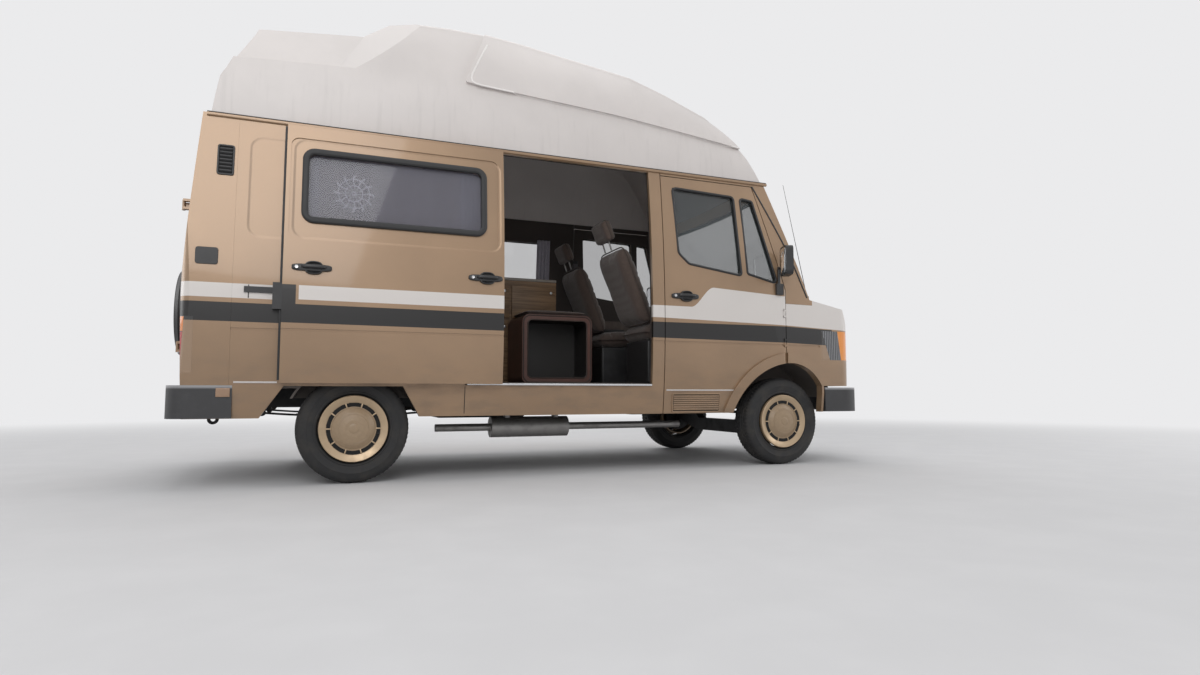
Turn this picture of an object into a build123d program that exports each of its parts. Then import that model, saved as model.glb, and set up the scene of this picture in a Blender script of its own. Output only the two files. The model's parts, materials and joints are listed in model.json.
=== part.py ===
from build123d import *
from math import cos, pi, sin
import os

# High-roof camper van with a sliding side door, in millimetres.
# Stations x run forward from the rear axle, y to the van's left, z up from the ground.
# The stored pieces are moved along x so that the origin lies at mid length.

# Wheels and axles
wheelbase = 3050
tyre_radius = 322
tyre_width = 185
rim_radius = 178
hub_radius = 60
spindle_radius = 25
kingpin_radius = 16
running_clearance = 0.3

# Body
half_width = 987
sill_half = half_width - 45
gutter_half = half_width - 72
wheel_y = half_width - 167
kingpin_y = wheel_y - 130
sill_z = 390
waist_z = 1120
gutter_z = 2120
floor_z = 600
floor_thickness = 40
wall = 45
panel_gap = 6
door_clearance = 8
rear_x = -wheelbase * 920 / 3050
rear_corner = 70
nose_length = 680
nose_corner = 110
plan_axis_x = -2500
bonnet_thickness = 24
glass_thickness = 6
seat_gap = 0.3

# Roof
roof_wall = 30
roof_crown = 45
panel_raise = 14

# Doors
door_rear = -1020
centre_pillar = 95
slide_overlap = 230
slide_offset = 63
doorway_rear = 645
doorway_front = wheelbase + door_rear - centre_pillar
doorway_low = 580
doorway_high = 2095
rear_door_half = half_width - 187
rear_door_low = 606
rear_door_high = 2050
rear_hinge_offset = 22
spare_radius = 330
spare_depth = 185
spare_y = 430
spare_z = 1100

# Frame and running gear
rail_y = 420
rail_width = 60
rail_height = 118
bumper_thickness = 60
bumper_low = 392
bumper_high = 574
front_bumper_reach = 745
rear_bumper_reach = 1000

front_x = wheelbase
nose_x = front_x + nose_length
wheel_z = tyre_radius
floor_low = floor_z - floor_thickness
slide_travel = doorway_front - doorway_rear - slide_overlap
far = half_width + 400
parts = {}


def outline(corners, radius):
    """Closed line through corners, each rounded by the radius."""
    if radius > 0:
        return FilletPolyline(*corners, radius=radius, close=True)
    return Polyline(*corners, close=True)


def side_plate(points, y_low, y_high, radius=0):
    """Solid of an outline in station and height, between two widths."""
    corners = [(x, y_low, z) for x, z in points]
    return extrude(make_face(outline(corners, radius)), amount=y_high - y_low, dir=(0, 1, 0))


def cross_plate(points, x_low, x_high, radius=0):
    """Solid of an outline in width and height, between two stations."""
    corners = [(x_low, y, z) for y, z in points]
    return extrude(make_face(outline(corners, radius)), amount=x_high - x_low, dir=(1, 0, 0))


def block(x_low, x_high, y_low, y_high, z_low, z_high):
    """Box between two corners."""
    size = (x_high - x_low, y_high - y_low, z_high - z_low)
    centre = ((x_low + x_high) / 2, (y_low + y_high) / 2, (z_low + z_high) / 2)
    return Pos(*centre) * Box(*size)


def rod_y(x, z, y_low, y_high, radius):
    """Round bar across the van."""
    return Pos(x, (y_low + y_high) / 2, z) * Rot(90, 0, 0) * Cylinder(radius, y_high - y_low)


def rod_x(y, z, x_low, x_high, radius):
    """Round bar along the van."""
    return Pos((x_low + x_high) / 2, y, z) * Rot(0, 90, 0) * Cylinder(radius, x_high - x_low)


def rod_z(x, y, z_low, z_high, radius):
    """Upright round bar."""
    return Pos(x, y, (z_low + z_high) / 2) * Cylinder(radius, z_high - z_low)


def both_sides(shape):
    """A piece and its mirror image on the other side."""
    return shape + mirror(shape, about=Plane.XZ)


def other_side(shape):
    """Mirror image on the other side of the van."""
    return mirror(shape, about=Plane.XZ)


def store(name, shape):
    """Keep a finished sub-part under its name."""
    parts[name] = shape


# Body envelope: a side outline, a cross-section and a plan outline, intersected.
# Side outline columns: station, height. The ends reach past sill and gutter by extra.
def side_outline(extra):
    low = sill_z - extra
    high = gutter_z + extra
    rear_lean = 70 / (gutter_z - waist_z)
    screen_base = (nose_x - 375, 1240)
    screen_lean = 0.43
    return [
        (rear_x + 30, low),
        (rear_x, waist_z),
        (rear_x + rear_lean * (high - waist_z), high),
        (screen_base[0] - screen_lean * (high - screen_base[1]), high),
        screen_base,
        (nose_x - 55, 1182),
        (nose_x - 8, 1062),
        (nose_x, 800),
        (nose_x - 30, low),
    ]


def cross_solid(inset, extra):
    """The body's cross-section carried along the whole length."""
    low = sill_z - extra
    high = gutter_z + extra
    widths = [
        (sill_half - inset, low),
        (sill_half - inset, sill_z),
        ((sill_half + half_width) / 2 + 14 - inset, (sill_z + waist_z) / 2),
        (half_width - inset, waist_z),
        ((half_width + gutter_half) / 2 + 14 - inset, (waist_z + gutter_z) / 2),
        (gutter_half - inset, gutter_z),
        (gutter_half - inset, high),
    ]
    x0 = rear_x - 100

    def at(index, sign):
        return (x0, sign * widths[index][0], widths[index][1])

    edges = []
    for sign in (-1, 1):
        edges.append(ThreePointArc(at(1, sign), at(2, sign), at(3, sign)))
        edges.append(ThreePointArc(at(3, sign), at(4, sign), at(5, sign)))
        if extra > 0:
            edges.append(Line(at(0, sign), at(1, sign)))
            edges.append(Line(at(5, sign), at(6, sign)))
    edges.append(Line(at(0, -1), at(0, 1)))
    edges.append(Line(at(6, -1), at(6, 1)))
    return extrude(make_face(edges), amount=nose_x - x0 + 200, dir=(1, 0, 0))


def plan_solid(inset, extra):
    """The body's outline from above."""
    side = half_width + 3 - inset
    front_side = half_width - 45 - inset
    corners = [
        (rear_x + inset, -side),
        (front_x - 150, -side),
        (nose_x - 73 - inset, -front_side),
        (nose_x + 60 - inset, -front_side + 340),
        (nose_x + 60 - inset, front_side - 340),
        (nose_x - 73 - inset, front_side),
        (front_x - 150, side),
        (rear_x + inset, side),
    ]
    rear = max(rear_corner - inset, 5)
    nose = max(nose_corner - inset, 5)
    radii = [rear, 400, nose, 40, 40, nose, 400, rear]
    line = FilletPolyline(*[(x, y, sill_z - extra) for x, y in corners], radius=radii, close=True)
    return extrude(make_face(line), amount=gutter_z - sill_z + 2 * extra, dir=(0, 0, 1))


def swept_front(face, half_angle=20):
    """Face in the middle plane turned about the plan axis, which bows the front."""
    axis = Axis((plan_axis_x, 0, 0), (0, 0, 1))
    return revolve(face.rotate(axis, -half_angle), axis=axis, revolution_arc=2 * half_angle)


def body_hull(inset, extra=0):
    """Outer body for no inset, the space inside the walls for an inset."""
    points = [(x, 0, z) for x, z in side_outline(extra)]
    face = make_face(Polyline(*points, close=True))
    if inset > 0:
        face = offset(face, amount=-inset, kind=Kind.INTERSECTION)
    split_x = front_x - 1000
    long = extrude(face, amount=far, both=True, dir=(0, 1, 0))
    rear_half = long & block(rear_x - 500, split_x, -far, far, -1000, gutter_z + 1000)
    front_face = face & side_face([(split_x - 200, -1000), (nose_x + 900, -1000),
                                   (nose_x + 900, gutter_z + 1000), (split_x - 200, gutter_z + 1000)])
    whole = rear_half + swept_front(front_face)
    return whole & cross_solid(inset, extra) & plan_solid(inset, extra)


def side_face(points):
    """Face in the middle plane from an outline in station and height."""
    return make_face(Polyline(*[(x, 0, z) for x, z in points], close=True))


outer = body_hull(0)
cavity = body_hull(wall, 300)
shell = outer - cavity


def grown(points, amount):
    """Outline moved outward by an amount, worked out on the face itself."""
    return offset(side_face(points), amount=amount, kind=Kind.INTERSECTION)


def side_cut(face, y_low, y_high):
    """Solid of a face in the middle plane, moved between two widths."""
    return extrude(face.moved(Location((0, y_low, 0))), amount=y_high - y_low, dir=(0, 1, 0))


# Cab door outline: station, height
door_points = [
    (front_x + door_rear, sill_z - 4),
    (front_x + door_rear, gutter_z - 42),
    (front_x - 258, gutter_z - 42),
    (front_x - 10, 1300),
    (front_x - 10, sill_z - 4),
]


def front_arch(y_low, y_high, extra=0):
    """Wheel opening over the front wheel."""
    low = sill_z - 60
    foot = (front_x - 463 - extra, y_low, sill_z)
    top = (front_x - 10, y_low, 753 + extra)
    nose = (front_x + 316 + extra, y_low, 585)
    line = [
        Line((foot[0], y_low, low), foot),
        ThreePointArc(foot, (front_x - 248 - extra * 0.75, y_low, 665 + extra * 0.65), top),
        ThreePointArc(top, (front_x + 211 + extra * 0.7, y_low, 699 + extra * 0.7), nose),
        Line(nose, (nose[0], y_low, low)),
        Line((nose[0], y_low, low), (foot[0], y_low, low)),
    ]
    return extrude(make_face(line), amount=y_high - y_low, dir=(0, 1, 0))


rear_arch = side_plate([(-530, sill_z - 30), (-385, 572), (272, 572), (392, sill_z - 30)], -far, far)
arch = front_arch(-far, far)
side_band = block(rear_x - 100, nose_x + 100, -far, -half_width + 260, 0, gutter_z + 100)
side_shell = (shell & side_band) - rear_arch - arch

# Groove pressed along both sides below the waist, from the rear corner to the front lamps
groove_depth = 5
groove_low = 880
groove_high = 894
groove = (outer.moved(Location((0, -10, 0))) - body_hull(groove_depth, 300)) & block(
    rear_x + 257, front_x + 315, -far, -half_width + 240, groove_low, groove_high)
shell = shell - both_sides(groove)
side_shell = side_shell - groove

# Lip round the front wheel opening, standing out from the skin
lip_width = 78
lip_out = 16
lip_zone = front_arch(-far, -half_width + 150, lip_width) - front_arch(-far, -half_width + 150)
lip = (outer.moved(Location((0, -lip_out, 0))) & lip_zone) - body_hull(wall - 5, 300)

# Upright hinges: an eye on the door turns between two ears on the body, all on one pin
hinge_eye_half = 16
hinge_ear = 14
hinge_play = 0.3


def hinge_body(x, y, z, eye_radius, pin_radius):
    """The two ears and the pin of one hinge."""
    ears = (rod_z(x, y, z + hinge_eye_half + hinge_play, z + hinge_eye_half + hinge_ear, eye_radius)
            + rod_z(x, y, z - hinge_eye_half - hinge_ear, z - hinge_eye_half - hinge_play, eye_radius))
    pin = rod_z(x, y, z - hinge_eye_half - hinge_ear, z + hinge_eye_half + hinge_ear, pin_radius)
    return ears + pin


def hinge_bore(x, y, z, pin_radius):
    """Space for the pin in the eye."""
    return rod_z(x, y, z - hinge_eye_half - 1, z + hinge_eye_half + 1, pin_radius + hinge_play)


def at_ears(x_low, x_high, y_low, y_high, z):
    """Two blocks level with the ears."""
    return (block(x_low, x_high, y_low, y_high, z + hinge_eye_half + hinge_play, z + hinge_eye_half + hinge_ear)
            + block(x_low, x_high, y_low, y_high, z - hinge_eye_half - hinge_ear,
                    z - hinge_eye_half - hinge_play))


# Regions that the panels are cut by
door_region = side_cut(side_face(door_points), -far, -half_width + 240)
door_hole = side_cut(grown(door_points, panel_gap), -far, -half_width + 240)
slide_gap = 8
slide_points = [
    (doorway_rear + slide_gap, doorway_low + slide_gap),
    (doorway_rear + slide_gap, doorway_high - slide_gap),
    (doorway_front - slide_gap, doorway_high - slide_gap),
    (doorway_front - slide_gap, doorway_low + slide_gap),
]
doorway_points = [
    (doorway_rear, doorway_low),
    (doorway_rear, doorway_high),
    (doorway_front, doorway_high),
    (doorway_front, doorway_low),
]
doorway_cut = side_plate(doorway_points, -far, -half_width + 240)

# Side window: station in the closed door, height
window_rear = doorway_rear + 95
window_front = doorway_front - 121
window_low = 1507
window_high = 1950
window_corner = 45


def window_outline(shrink):
    return [
        (window_rear + shrink, window_low + shrink),
        (window_rear + shrink, window_high - shrink),
        (window_front - shrink, window_high - shrink),
        (window_front - shrink, window_low + shrink),
    ]


window_frame = 28
window_cut = side_plate(window_outline(window_frame), -far, -half_width + 240, window_corner)
window_pane = side_plate(window_outline(window_frame + seat_gap), -far, -half_width + 240,
                         window_corner - seat_gap)
glass_depth = 18
glass_layer = body_hull(glass_depth) - body_hull(glass_depth + glass_thickness)

# Shallow pressing round the side windows
pressing_depth = 7
pressing_low = 1405
pressing_high = 2010
pressing_layer = outer.moved(Location((0, -10, 0))) - body_hull(pressing_depth, 300)
pressing = pressing_layer & side_plate([(window_rear - 65, pressing_low), (window_rear - 65, pressing_high),
                                        (window_front + 76, pressing_high), (window_front + 76, pressing_low)],
                                       -far, -half_width + 240, window_corner)

# Sliding door, stored slid open outside the rear side wall
slide_shift = Location((-slide_travel, -slide_offset, 0))
slide_solid = (side_plate(slide_points, -far, -half_width + 240) & shell) - pressing
store("sliding_door", (slide_solid - window_cut).moved(slide_shift))
store("sliding_door_glass", (glass_layer & window_pane).moved(slide_shift))

# Side walls
wall_front = front_x + door_rear - panel_gap
corner_x = rear_x + 257
seam_gap = 0.5
wall_region = block(corner_x + seam_gap, wall_front, -far, far, 0, gutter_z + 100)
right_wall = (side_shell & wall_region) - doorway_cut
left_wall = other_side((side_shell & wall_region) - window_cut - pressing)
store("side_wall_right", right_wall)
store("side_wall_left", left_wall)

# Rail for the sliding door on the rear side wall, and its carriage
rail_z = 1110
rail_tall = 34
rail_deep = slide_offset - wall
carriage_low = 1000
carriage_high = 1150
carriage_length = 48
carriage_rear = doorway_rear + slide_gap - slide_travel - carriage_length
rail_rear = carriage_rear - 148
rail_zone = side_plate([(rail_rear, rail_z - rail_tall / 2), (rail_rear, rail_z + rail_tall / 2),
                        (doorway_rear - 20, rail_z + rail_tall / 2),
                        (doorway_rear - 20, rail_z - rail_tall / 2)], -far, -half_width + 240)
rail_base = (rail_zone & outer).moved(Location((0, -rail_deep / 2, 0))) - outer
carriage = block(carriage_rear, carriage_rear + carriage_length, -half_width - slide_offset,
                 -half_width - rail_deep / 2, carriage_low, carriage_high)
store("sliding_door_rail", rail_base + carriage)

# Rear frame: both rear corners with the sill and header round the rear doors
rear_region = block(rear_x - 200, corner_x, -far, far, 0, gutter_z + 100)
rear_opening = cross_plate([(-rear_door_half, rear_door_low), (-rear_door_half, rear_door_high),
                            (rear_door_half, rear_door_high), (rear_door_half, rear_door_low)],
                           rear_x - 200, rear_x + 230)
lamp_low = 640
lamp_high = 950
lamp_width = 130
lamp_half = half_width - 20
lamp_zone = both_sides(block(rear_x - 200, rear_x + 75, lamp_half - lamp_width, far, lamp_low, lamp_high))
rear_frame = (shell & rear_region) - rear_opening - lamp_zone - rear_arch
rear_hinge_x = rear_x - rear_hinge_offset
rear_hinge_y = rear_door_half - 3
rear_hinge_heights = (790, 1600)
rear_eye = 9
rear_pin = 5
for height in rear_hinge_heights:
    rear_frame = rear_frame + both_sides(
        hinge_body(rear_hinge_x, rear_hinge_y, height, rear_eye, rear_pin)
        + (at_ears(rear_hinge_x, rear_x + 60, rear_hinge_y + 6, rear_hinge_y + 38, height)))
store("rear_frame", rear_frame)
lamp_seat = both_sides(block(rear_x - 200, rear_x + 75 - seat_gap, lamp_half - lamp_width + seat_gap, far,
                             lamp_low + seat_gap, lamp_high - seat_gap))
store("tail_lamps", (outer - body_hull(38)) & lamp_seat)

# Rear doors with a window each
rear_window_low = 1420
rear_window_high = 1960
rear_window_side = 110
for side, sign in (("left", 1), ("right", -1)):
    inner_y = panel_gap / 2
    outer_y = rear_door_half - panel_gap
    y_low = min(sign * inner_y, sign * outer_y)
    y_high = max(sign * inner_y, sign * outer_y)
    leaf = shell & block(rear_x - 200, rear_x + 230, y_low, y_high,
                         rear_door_low + panel_gap, rear_door_high - panel_gap)
    hole = cross_plate([(y_low + rear_window_side, rear_window_low),
                        (y_low + rear_window_side, rear_window_high),
                        (y_high - rear_window_side, rear_window_high),
                        (y_high - rear_window_side, rear_window_low)],
                       rear_x - 200, rear_x + 230, 50)
    pane = cross_plate([(y_low + rear_window_side + seat_gap, rear_window_low + seat_gap),
                        (y_low + rear_window_side + seat_gap, rear_window_high - seat_gap),
                        (y_high - rear_window_side - seat_gap, rear_window_high - seat_gap),
                        (y_high - rear_window_side - seat_gap, rear_window_low + seat_gap)],
                       rear_x - 200, rear_x + 230, 50 - seat_gap)
    leaf = leaf - hole
    for height in rear_hinge_heights:
        strap = block(rear_hinge_x, rear_x + 60, min(sign * (rear_hinge_y - 44), sign * (rear_hinge_y - 5)),
                      max(sign * (rear_hinge_y - 44), sign * (rear_hinge_y - 5)),
                      height - hinge_eye_half, height + hinge_eye_half)
        eye = rod_z(rear_hinge_x, sign * rear_hinge_y, height - hinge_eye_half,
                    height + hinge_eye_half, rear_eye)
        leaf = leaf + (eye + strap - hinge_bore(rear_hinge_x, sign * rear_hinge_y, height, rear_pin))
    store("rear_door_" + side, leaf)
    store("rear_door_glass_" + side, glass_layer & pane)

# Spare wheel in its cover on the left rear door
spare_back = rear_x - 12
spare_body = rod_x(spare_y, spare_z, spare_back - spare_depth, spare_back, spare_radius)
spare_body = chamfer(spare_body.edges().filter_by(GeomType.CIRCLE).group_by(Axis.X)[0], 35)
spare_seat = rod_x(spare_y, spare_z, spare_back - 1, rear_x + 40, 90) - outer
store("spare_wheel", spare_body + spare_seat)

# Cab doors with a main window and a quarter light
main_window = [
    (front_x - 933, 2000), (front_x - 423, 1982), (front_x - 388, 1388), (front_x - 824, 1448),
    (front_x - 905, 1520),
]
quarter_window = [
    (front_x - 368, 1978), (front_x - 262, 1965), (front_x - 78, 1347), (front_x - 336, 1405),
]


def inset_outline(points, amount):
    return offset(side_face(points), amount=-amount, kind=Kind.INTERSECTION)


door_glass_cut = (side_cut(side_face(main_window), -far, -half_width + 240)
                  + side_cut(side_face(quarter_window), -far, -half_width + 240))
door_glass_pane = (side_cut(inset_outline(main_window, seat_gap), -far, -half_width + 240)
                   + side_cut(inset_outline(quarter_window, seat_gap), -far, -half_width + 240))
# The lip thins out towards the door's front edge, which swings inward there
lip_start = front_x - 50
taper_points = [(front_x - 6, -half_width + 5), (lip_start, -half_width - 13), (lip_start, -far),
                (front_x + 20, -far), (front_x + 20, -half_width + 5)]
taper_line = Polyline(*[(x, y, sill_z) for x, y in taper_points], close=True)
lip_taper = extrude(make_face(taper_line), amount=waist_z - sill_z, dir=(0, 0, 1))
door_shell = ((shell + (lip - lip_taper)) & door_region) - arch
cab_door = door_shell - door_glass_cut
cab_hinge_x = front_x - 20
cab_hinge_y = half_width - 3
cab_hinge_heights = (905, 1125)
cab_eye = 6.5
cab_pin = 3.5
for height in cab_hinge_heights:
    low = height - hinge_eye_half
    high = height + hinge_eye_half
    pocket = rod_z(cab_hinge_x, -cab_hinge_y, low - hinge_ear - 3, high + hinge_ear + 3, cab_eye + 6)
    eye = (rod_z(cab_hinge_x, -cab_hinge_y, low, high, cab_eye)
           + block(cab_hinge_x - cab_eye - 10, cab_hinge_x, -cab_hinge_y, -cab_hinge_y + 6, low, high))
    cab_door = (cab_door - pocket) + (eye - hinge_bore(cab_hinge_x, -cab_hinge_y, height, cab_pin))
cab_glass = glass_layer & door_glass_pane
store("cab_door_right", cab_door)
store("cab_door_left", other_side(cab_door))
store("cab_door_glass_right", cab_glass)
store("cab_door_glass_left", other_side(cab_glass))

# Door mirrors, each on a foot and an arm at the front corner of the door
mirror_x = front_x - 75
mirror_z = 1500
mirror_tall = 215
mirror_wide = 160
mirror_deep = 55
mirror_turn = 20
mirror_inner = half_width + 28
foot_x = front_x - 72
foot_low = 1262
foot_high = 1345
arm_radius = 11
head_y = -mirror_inner - mirror_wide / 2
head = cross_plate([(-mirror_wide / 2, -mirror_tall / 2), (-mirror_wide / 2, mirror_tall / 2),
                    (mirror_wide / 2, mirror_tall / 2), (mirror_wide / 2, -mirror_tall / 2)],
                   -mirror_deep / 2, mirror_deep / 2, 32)
head = Pos(mirror_x, head_y, mirror_z) * Rot(0, 0, -mirror_turn) * head
foot = block(foot_x - 26, foot_x + 34, -half_width - 16, -half_width + 60, foot_low, foot_high)
arm_y = -half_width - 6
arm_post = rod_z(foot_x, arm_y, foot_high - 20, mirror_z - 30, arm_radius)
arm_reach = rod_y(foot_x, mirror_z - 40, head_y, arm_y, arm_radius)
door_mirror = (foot + arm_post + arm_reach + head) - outer.moved(Location((0, -seat_gap, 0)))
store("mirror_right", door_mirror)
store("mirror_left", other_side(door_mirror))

# Windscreen frame: pillars, header and cowl ahead of the doors, above the bonnet
bonnet_rear = nose_x - 330
cowl_z = 1140


def radial_block(x_low, x_high, z_low, z_high, half_angle=20):
    """Curved slab between two stations, bowed like the front of the van."""
    face = side_face([(x_low, z_low), (x_high, z_low), (x_high, z_high), (x_low, z_high)])
    return swept_front(face, half_angle)


bonnet_slot = 22
ahead_of_doors = block(wall_front + panel_gap, nose_x + 100, -far, far, 0, gutter_z + 300)
doors_hole = door_hole + other_side(door_hole)
front_shell = ((shell + both_sides(lip)) & ahead_of_doors) - doors_hole - arch
above_cowl = (radial_block(front_x - 1400, bonnet_rear - bonnet_slot, cowl_z + 60, gutter_z + 200)
              & block(wall_front, nose_x, -far, far, cowl_z + 60, gutter_z + 200))
screen_low = 1296
screen_high = 2040
screen_foot = half_width - 177
screen_head = gutter_half - 170
screen_outline = [(-screen_foot, screen_low), (-screen_head, screen_high), (screen_head, screen_high),
                  (screen_foot, screen_low)]
screen_cut = cross_plate(screen_outline, front_x - 500, nose_x, 70)
screen_pane = cross_plate([(-screen_foot + seat_gap, screen_low + seat_gap),
                           (-screen_head + seat_gap, screen_high - seat_gap),
                           (screen_head - seat_gap, screen_high - seat_gap),
                           (screen_foot - seat_gap, screen_low + seat_gap)],
                          front_x - 500, nose_x, 70 - seat_gap)
windscreen_frame = (front_shell & above_cowl) - screen_cut
store("windscreen_frame", windscreen_frame)
screen_layer = glass_layer & block(front_x - 500, nose_x, -far, far, 0, gutter_z + 100)
store("windscreen", screen_layer & screen_pane)
store("side_window_left", other_side(glass_layer & window_pane))

# Bonnet, hinged under its rear corners
bonnet_half = half_width - 125
nose_split = 1062
bonnet_zone = (block(front_x + 100, nose_x + 100, -bonnet_half + panel_gap, bonnet_half - panel_gap,
                     nose_split + panel_gap, 1400)
               & radial_block(bonnet_rear, nose_x + 200, 900, 1500))
bonnet_pin = 4
bonnet_pin_length = 22
bonnet_hinge_radius = bonnet_rear + 12 - plan_axis_x
bonnet_hinge_x = plan_axis_x + (bonnet_hinge_radius ** 2 - bonnet_half ** 2) ** 0.5
bonnet_slope = 58 / 320
bonnet_skin = 2.2
bonnet_hinge_z = (1240 - bonnet_slope * (bonnet_rear + 12 - (nose_x - 375))
                  - bonnet_pin - hinge_play - bonnet_skin)
pin_bore = both_sides(rod_y(bonnet_hinge_x, bonnet_hinge_z, bonnet_half - panel_gap - bonnet_pin_length - 1,
                            bonnet_half, bonnet_pin + hinge_play))
bonnet = (outer - body_hull(bonnet_thickness, 300)) & bonnet_zone
store("bonnet", bonnet - pin_bore)

# Front wings, front panel with lamp seats and grille opening
bonnet_hole = block(front_x + 100, nose_x + 100, -bonnet_half, bonnet_half, nose_split, 1500)
below_screen = front_shell - radial_block(front_x - 1400, bonnet_rear - bonnet_slot + 1,
                                          cowl_z + 59, gutter_z + 400)
nose_low = bumper_high + 12
nose_body = below_screen - bonnet_hole - block(front_x + 335, nose_x + 100, -far, far, 0, nose_low)
lamp_zone_low = 785
lamp_zone_high = 1008
lamp_inner = half_width - 387
lamp_rear = front_x + 338
front_lamp_hole = both_sides(block(lamp_rear, nose_x + 100, lamp_inner, far, lamp_zone_low, lamp_zone_high))
grille_half = lamp_inner - 40
grille_low = 690
grille_high = 1020
grille_hole = block(front_x + 400, nose_x + 100, -grille_half, grille_half, grille_low, grille_high)
nose_body = nose_body - front_lamp_hole - grille_hole
for height in cab_hinge_heights:
    for side_y in (-cab_hinge_y, cab_hinge_y):
        inward = 6 if side_y < 0 else -6
        web = at_ears(cab_hinge_x, front_x + 2, min(side_y, side_y + inward),
                      max(side_y, side_y + inward), height)
        nose_body = nose_body + hinge_body(cab_hinge_x, side_y, height, cab_eye, cab_pin) + web
nose_body = nose_body + both_sides(rod_y(bonnet_hinge_x, bonnet_hinge_z,
                                         bonnet_half - panel_gap - bonnet_pin_length, bonnet_half + 10,
                                         bonnet_pin))
wing_inner = lamp_inner - 15
wings_only = both_sides(block(front_x - 500, nose_x + 200, wing_inner + seat_gap, far, 0, 1400))
store("front_wings", nose_body & wings_only)
store("front_panel", nose_body & block(front_x + 200, nose_x + 200, -wing_inner, wing_inner, 0, 1400))

lamp_layer = outer - body_hull(70, 300)
lamp_unit = both_sides(block(lamp_rear + seat_gap, nose_x + 100, lamp_inner + seat_gap, far,
                             lamp_zone_low + seat_gap, lamp_zone_high - seat_gap)) & lamp_layer
indicator_inner = half_width - 152
indicator_zone = both_sides(block(front_x, nose_x + 100, indicator_inner, far, 0, 1400))
store("headlamps", lamp_unit - indicator_zone)
indicator_zone_seat = both_sides(block(front_x, nose_x + 100, indicator_inner + seat_gap, far, 0, 1400))
store("indicators", lamp_unit & indicator_zone_seat)

# Grille with upright slats between two rails
grille_layer = body_hull(8, 300) - body_hull(wall - 2, 300)
grille_frame = grille_layer & block(front_x + 400, nose_x + 100, -grille_half + seat_gap, grille_half - seat_gap,
                                    grille_low + seat_gap, grille_high - seat_gap)
slot_count = 7
slot_pitch = (grille_high - grille_low - 20) / slot_count
for index in range(slot_count):
    slot_low = grille_low + 17 + index * slot_pitch
    for slot_y in (-grille_half / 2, grille_half / 2):
        grille_frame = grille_frame - block(front_x + 400, nose_x + 100, slot_y - grille_half / 2 + 22,
                                            slot_y + grille_half / 2 - 22, slot_low, slot_low + slot_pitch - 16)
store("grille", grille_frame)

# Bumpers: a plan outline with rounded corners, hollow behind
def bumper(reach, side_reach, corner, bow, half):
    """Bumper as seen from above, its face at x = reach and its ends at side_reach."""
    def ring(inset):
        edge = reach - inset
        points = [(side_reach - 400, -half + inset), (edge - bow, -half + inset), (edge, -half * 0.55),
                  (edge, half * 0.55), (edge - bow, half - inset), (side_reach - 400, half - inset)]
        radii = [0, max(corner - inset, 5), 200, 200, max(corner - inset, 5), 0]
        line = FilletPolyline(*[(x, y, bumper_low) for x, y in points], radius=radii, close=True)
        return make_face(line)
    bar = extrude(ring(0) - ring(bumper_thickness), amount=bumper_high - bumper_low, dir=(0, 0, 1))
    return bar & block(side_reach, reach + 10, -far, far, 0, bumper_high + 10)


front_bumper = bumper(front_x + front_bumper_reach, front_x + 346, 170, 40, half_width - 12)
bumper_irons = both_sides(block(front_x + 610, front_x + front_bumper_reach - bumper_thickness + 10,
                                rail_y - 25, rail_y + 25, bumper_high - 120, bumper_high - 24))
store("front_bumper", front_bumper + bumper_irons)
rear_bumper = mirror(bumper(rear_bumper_reach, 645, 90, 30, half_width - 22), about=Plane.YZ)
store("rear_bumper", rear_bumper - outer)

# High roof: one hull along the van, its upper part behind the step cut back to a narrower core
# columns: share of the wheelbase, shoulder's distance in from the gutter, shoulder height
roof_sections = [
    (-0.33, 150, 2900),
    (0.066, 150, 2934),
    (0.111, 150, 2949),
    (0.180, 150, 2962),
    (0.259, 150, 2960),
    (0.341, 150, 2939),
    (0.426, 150, 2906),
    (0.515, 150, 2875),
    (0.608, 152, 2840),
    (0.705, 155, 2755),
    (0.803, 160, 2650),
    (1.150, 170, 2330),
]
roof_bulge = 48
shoulder_run = 34

# Core behind the step, columns: share of the wheelbase, ledge height, shoulder height
core_sections = [(-0.33, 2448, 2708), (0.16, 2562, 2880)]
core_foot = gutter_half - 50
core_shoulder = gutter_half - 215

# Oblique face of the step on the right side and the face across the top, each a point and its normal
step_side = ((-55, -gutter_half + 35, 2533), (-0.33, -0.77, 0.55))
step_top = ((10, 0, 2826), (-0.58, 0, 0.81))


def roof_section(row, inset, raised):
    """Section of the main hull; a raised one stands further out at its sides."""
    share, shoulder_in, shoulder_z = row
    x = share * wheelbase
    shoulder_y = gutter_half - shoulder_in - inset * 0.8
    shoulder_z = shoulder_z - inset
    foot = (x, -gutter_half + inset, gutter_z)
    low = (x, -gutter_half + inset, gutter_z - inset)
    side_end = (x, -shoulder_y - 12 - raised, shoulder_z - shoulder_run)
    side_mid = (x, (foot[1] + side_end[1]) / 2 - roof_bulge - raised, (foot[2] + side_end[2]) / 2)
    turn_mid = (x, -shoulder_y + 1 - raised, shoulder_z - 10)
    turn_end = (x, -shoulder_y + shoulder_run, shoulder_z + 1)
    crown = (x, 0, shoulder_z + roof_crown)

    def across(point):
        return (point[0], -point[1], point[2])

    edges = [ThreePointArc(foot, side_mid, side_end), ThreePointArc(side_end, turn_mid, turn_end),
             ThreePointArc(turn_end, crown, across(turn_end)),
             ThreePointArc(across(turn_end), across(turn_mid), across(side_end)),
             ThreePointArc(across(side_end), across(side_mid), across(foot))]
    if inset > 0:
        edges = edges + [Line(across(foot), across(low)), Line(across(low), low), Line(low, foot)]
    else:
        edges = edges + [Line(across(foot), foot)]
    return make_face(edges)


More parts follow.
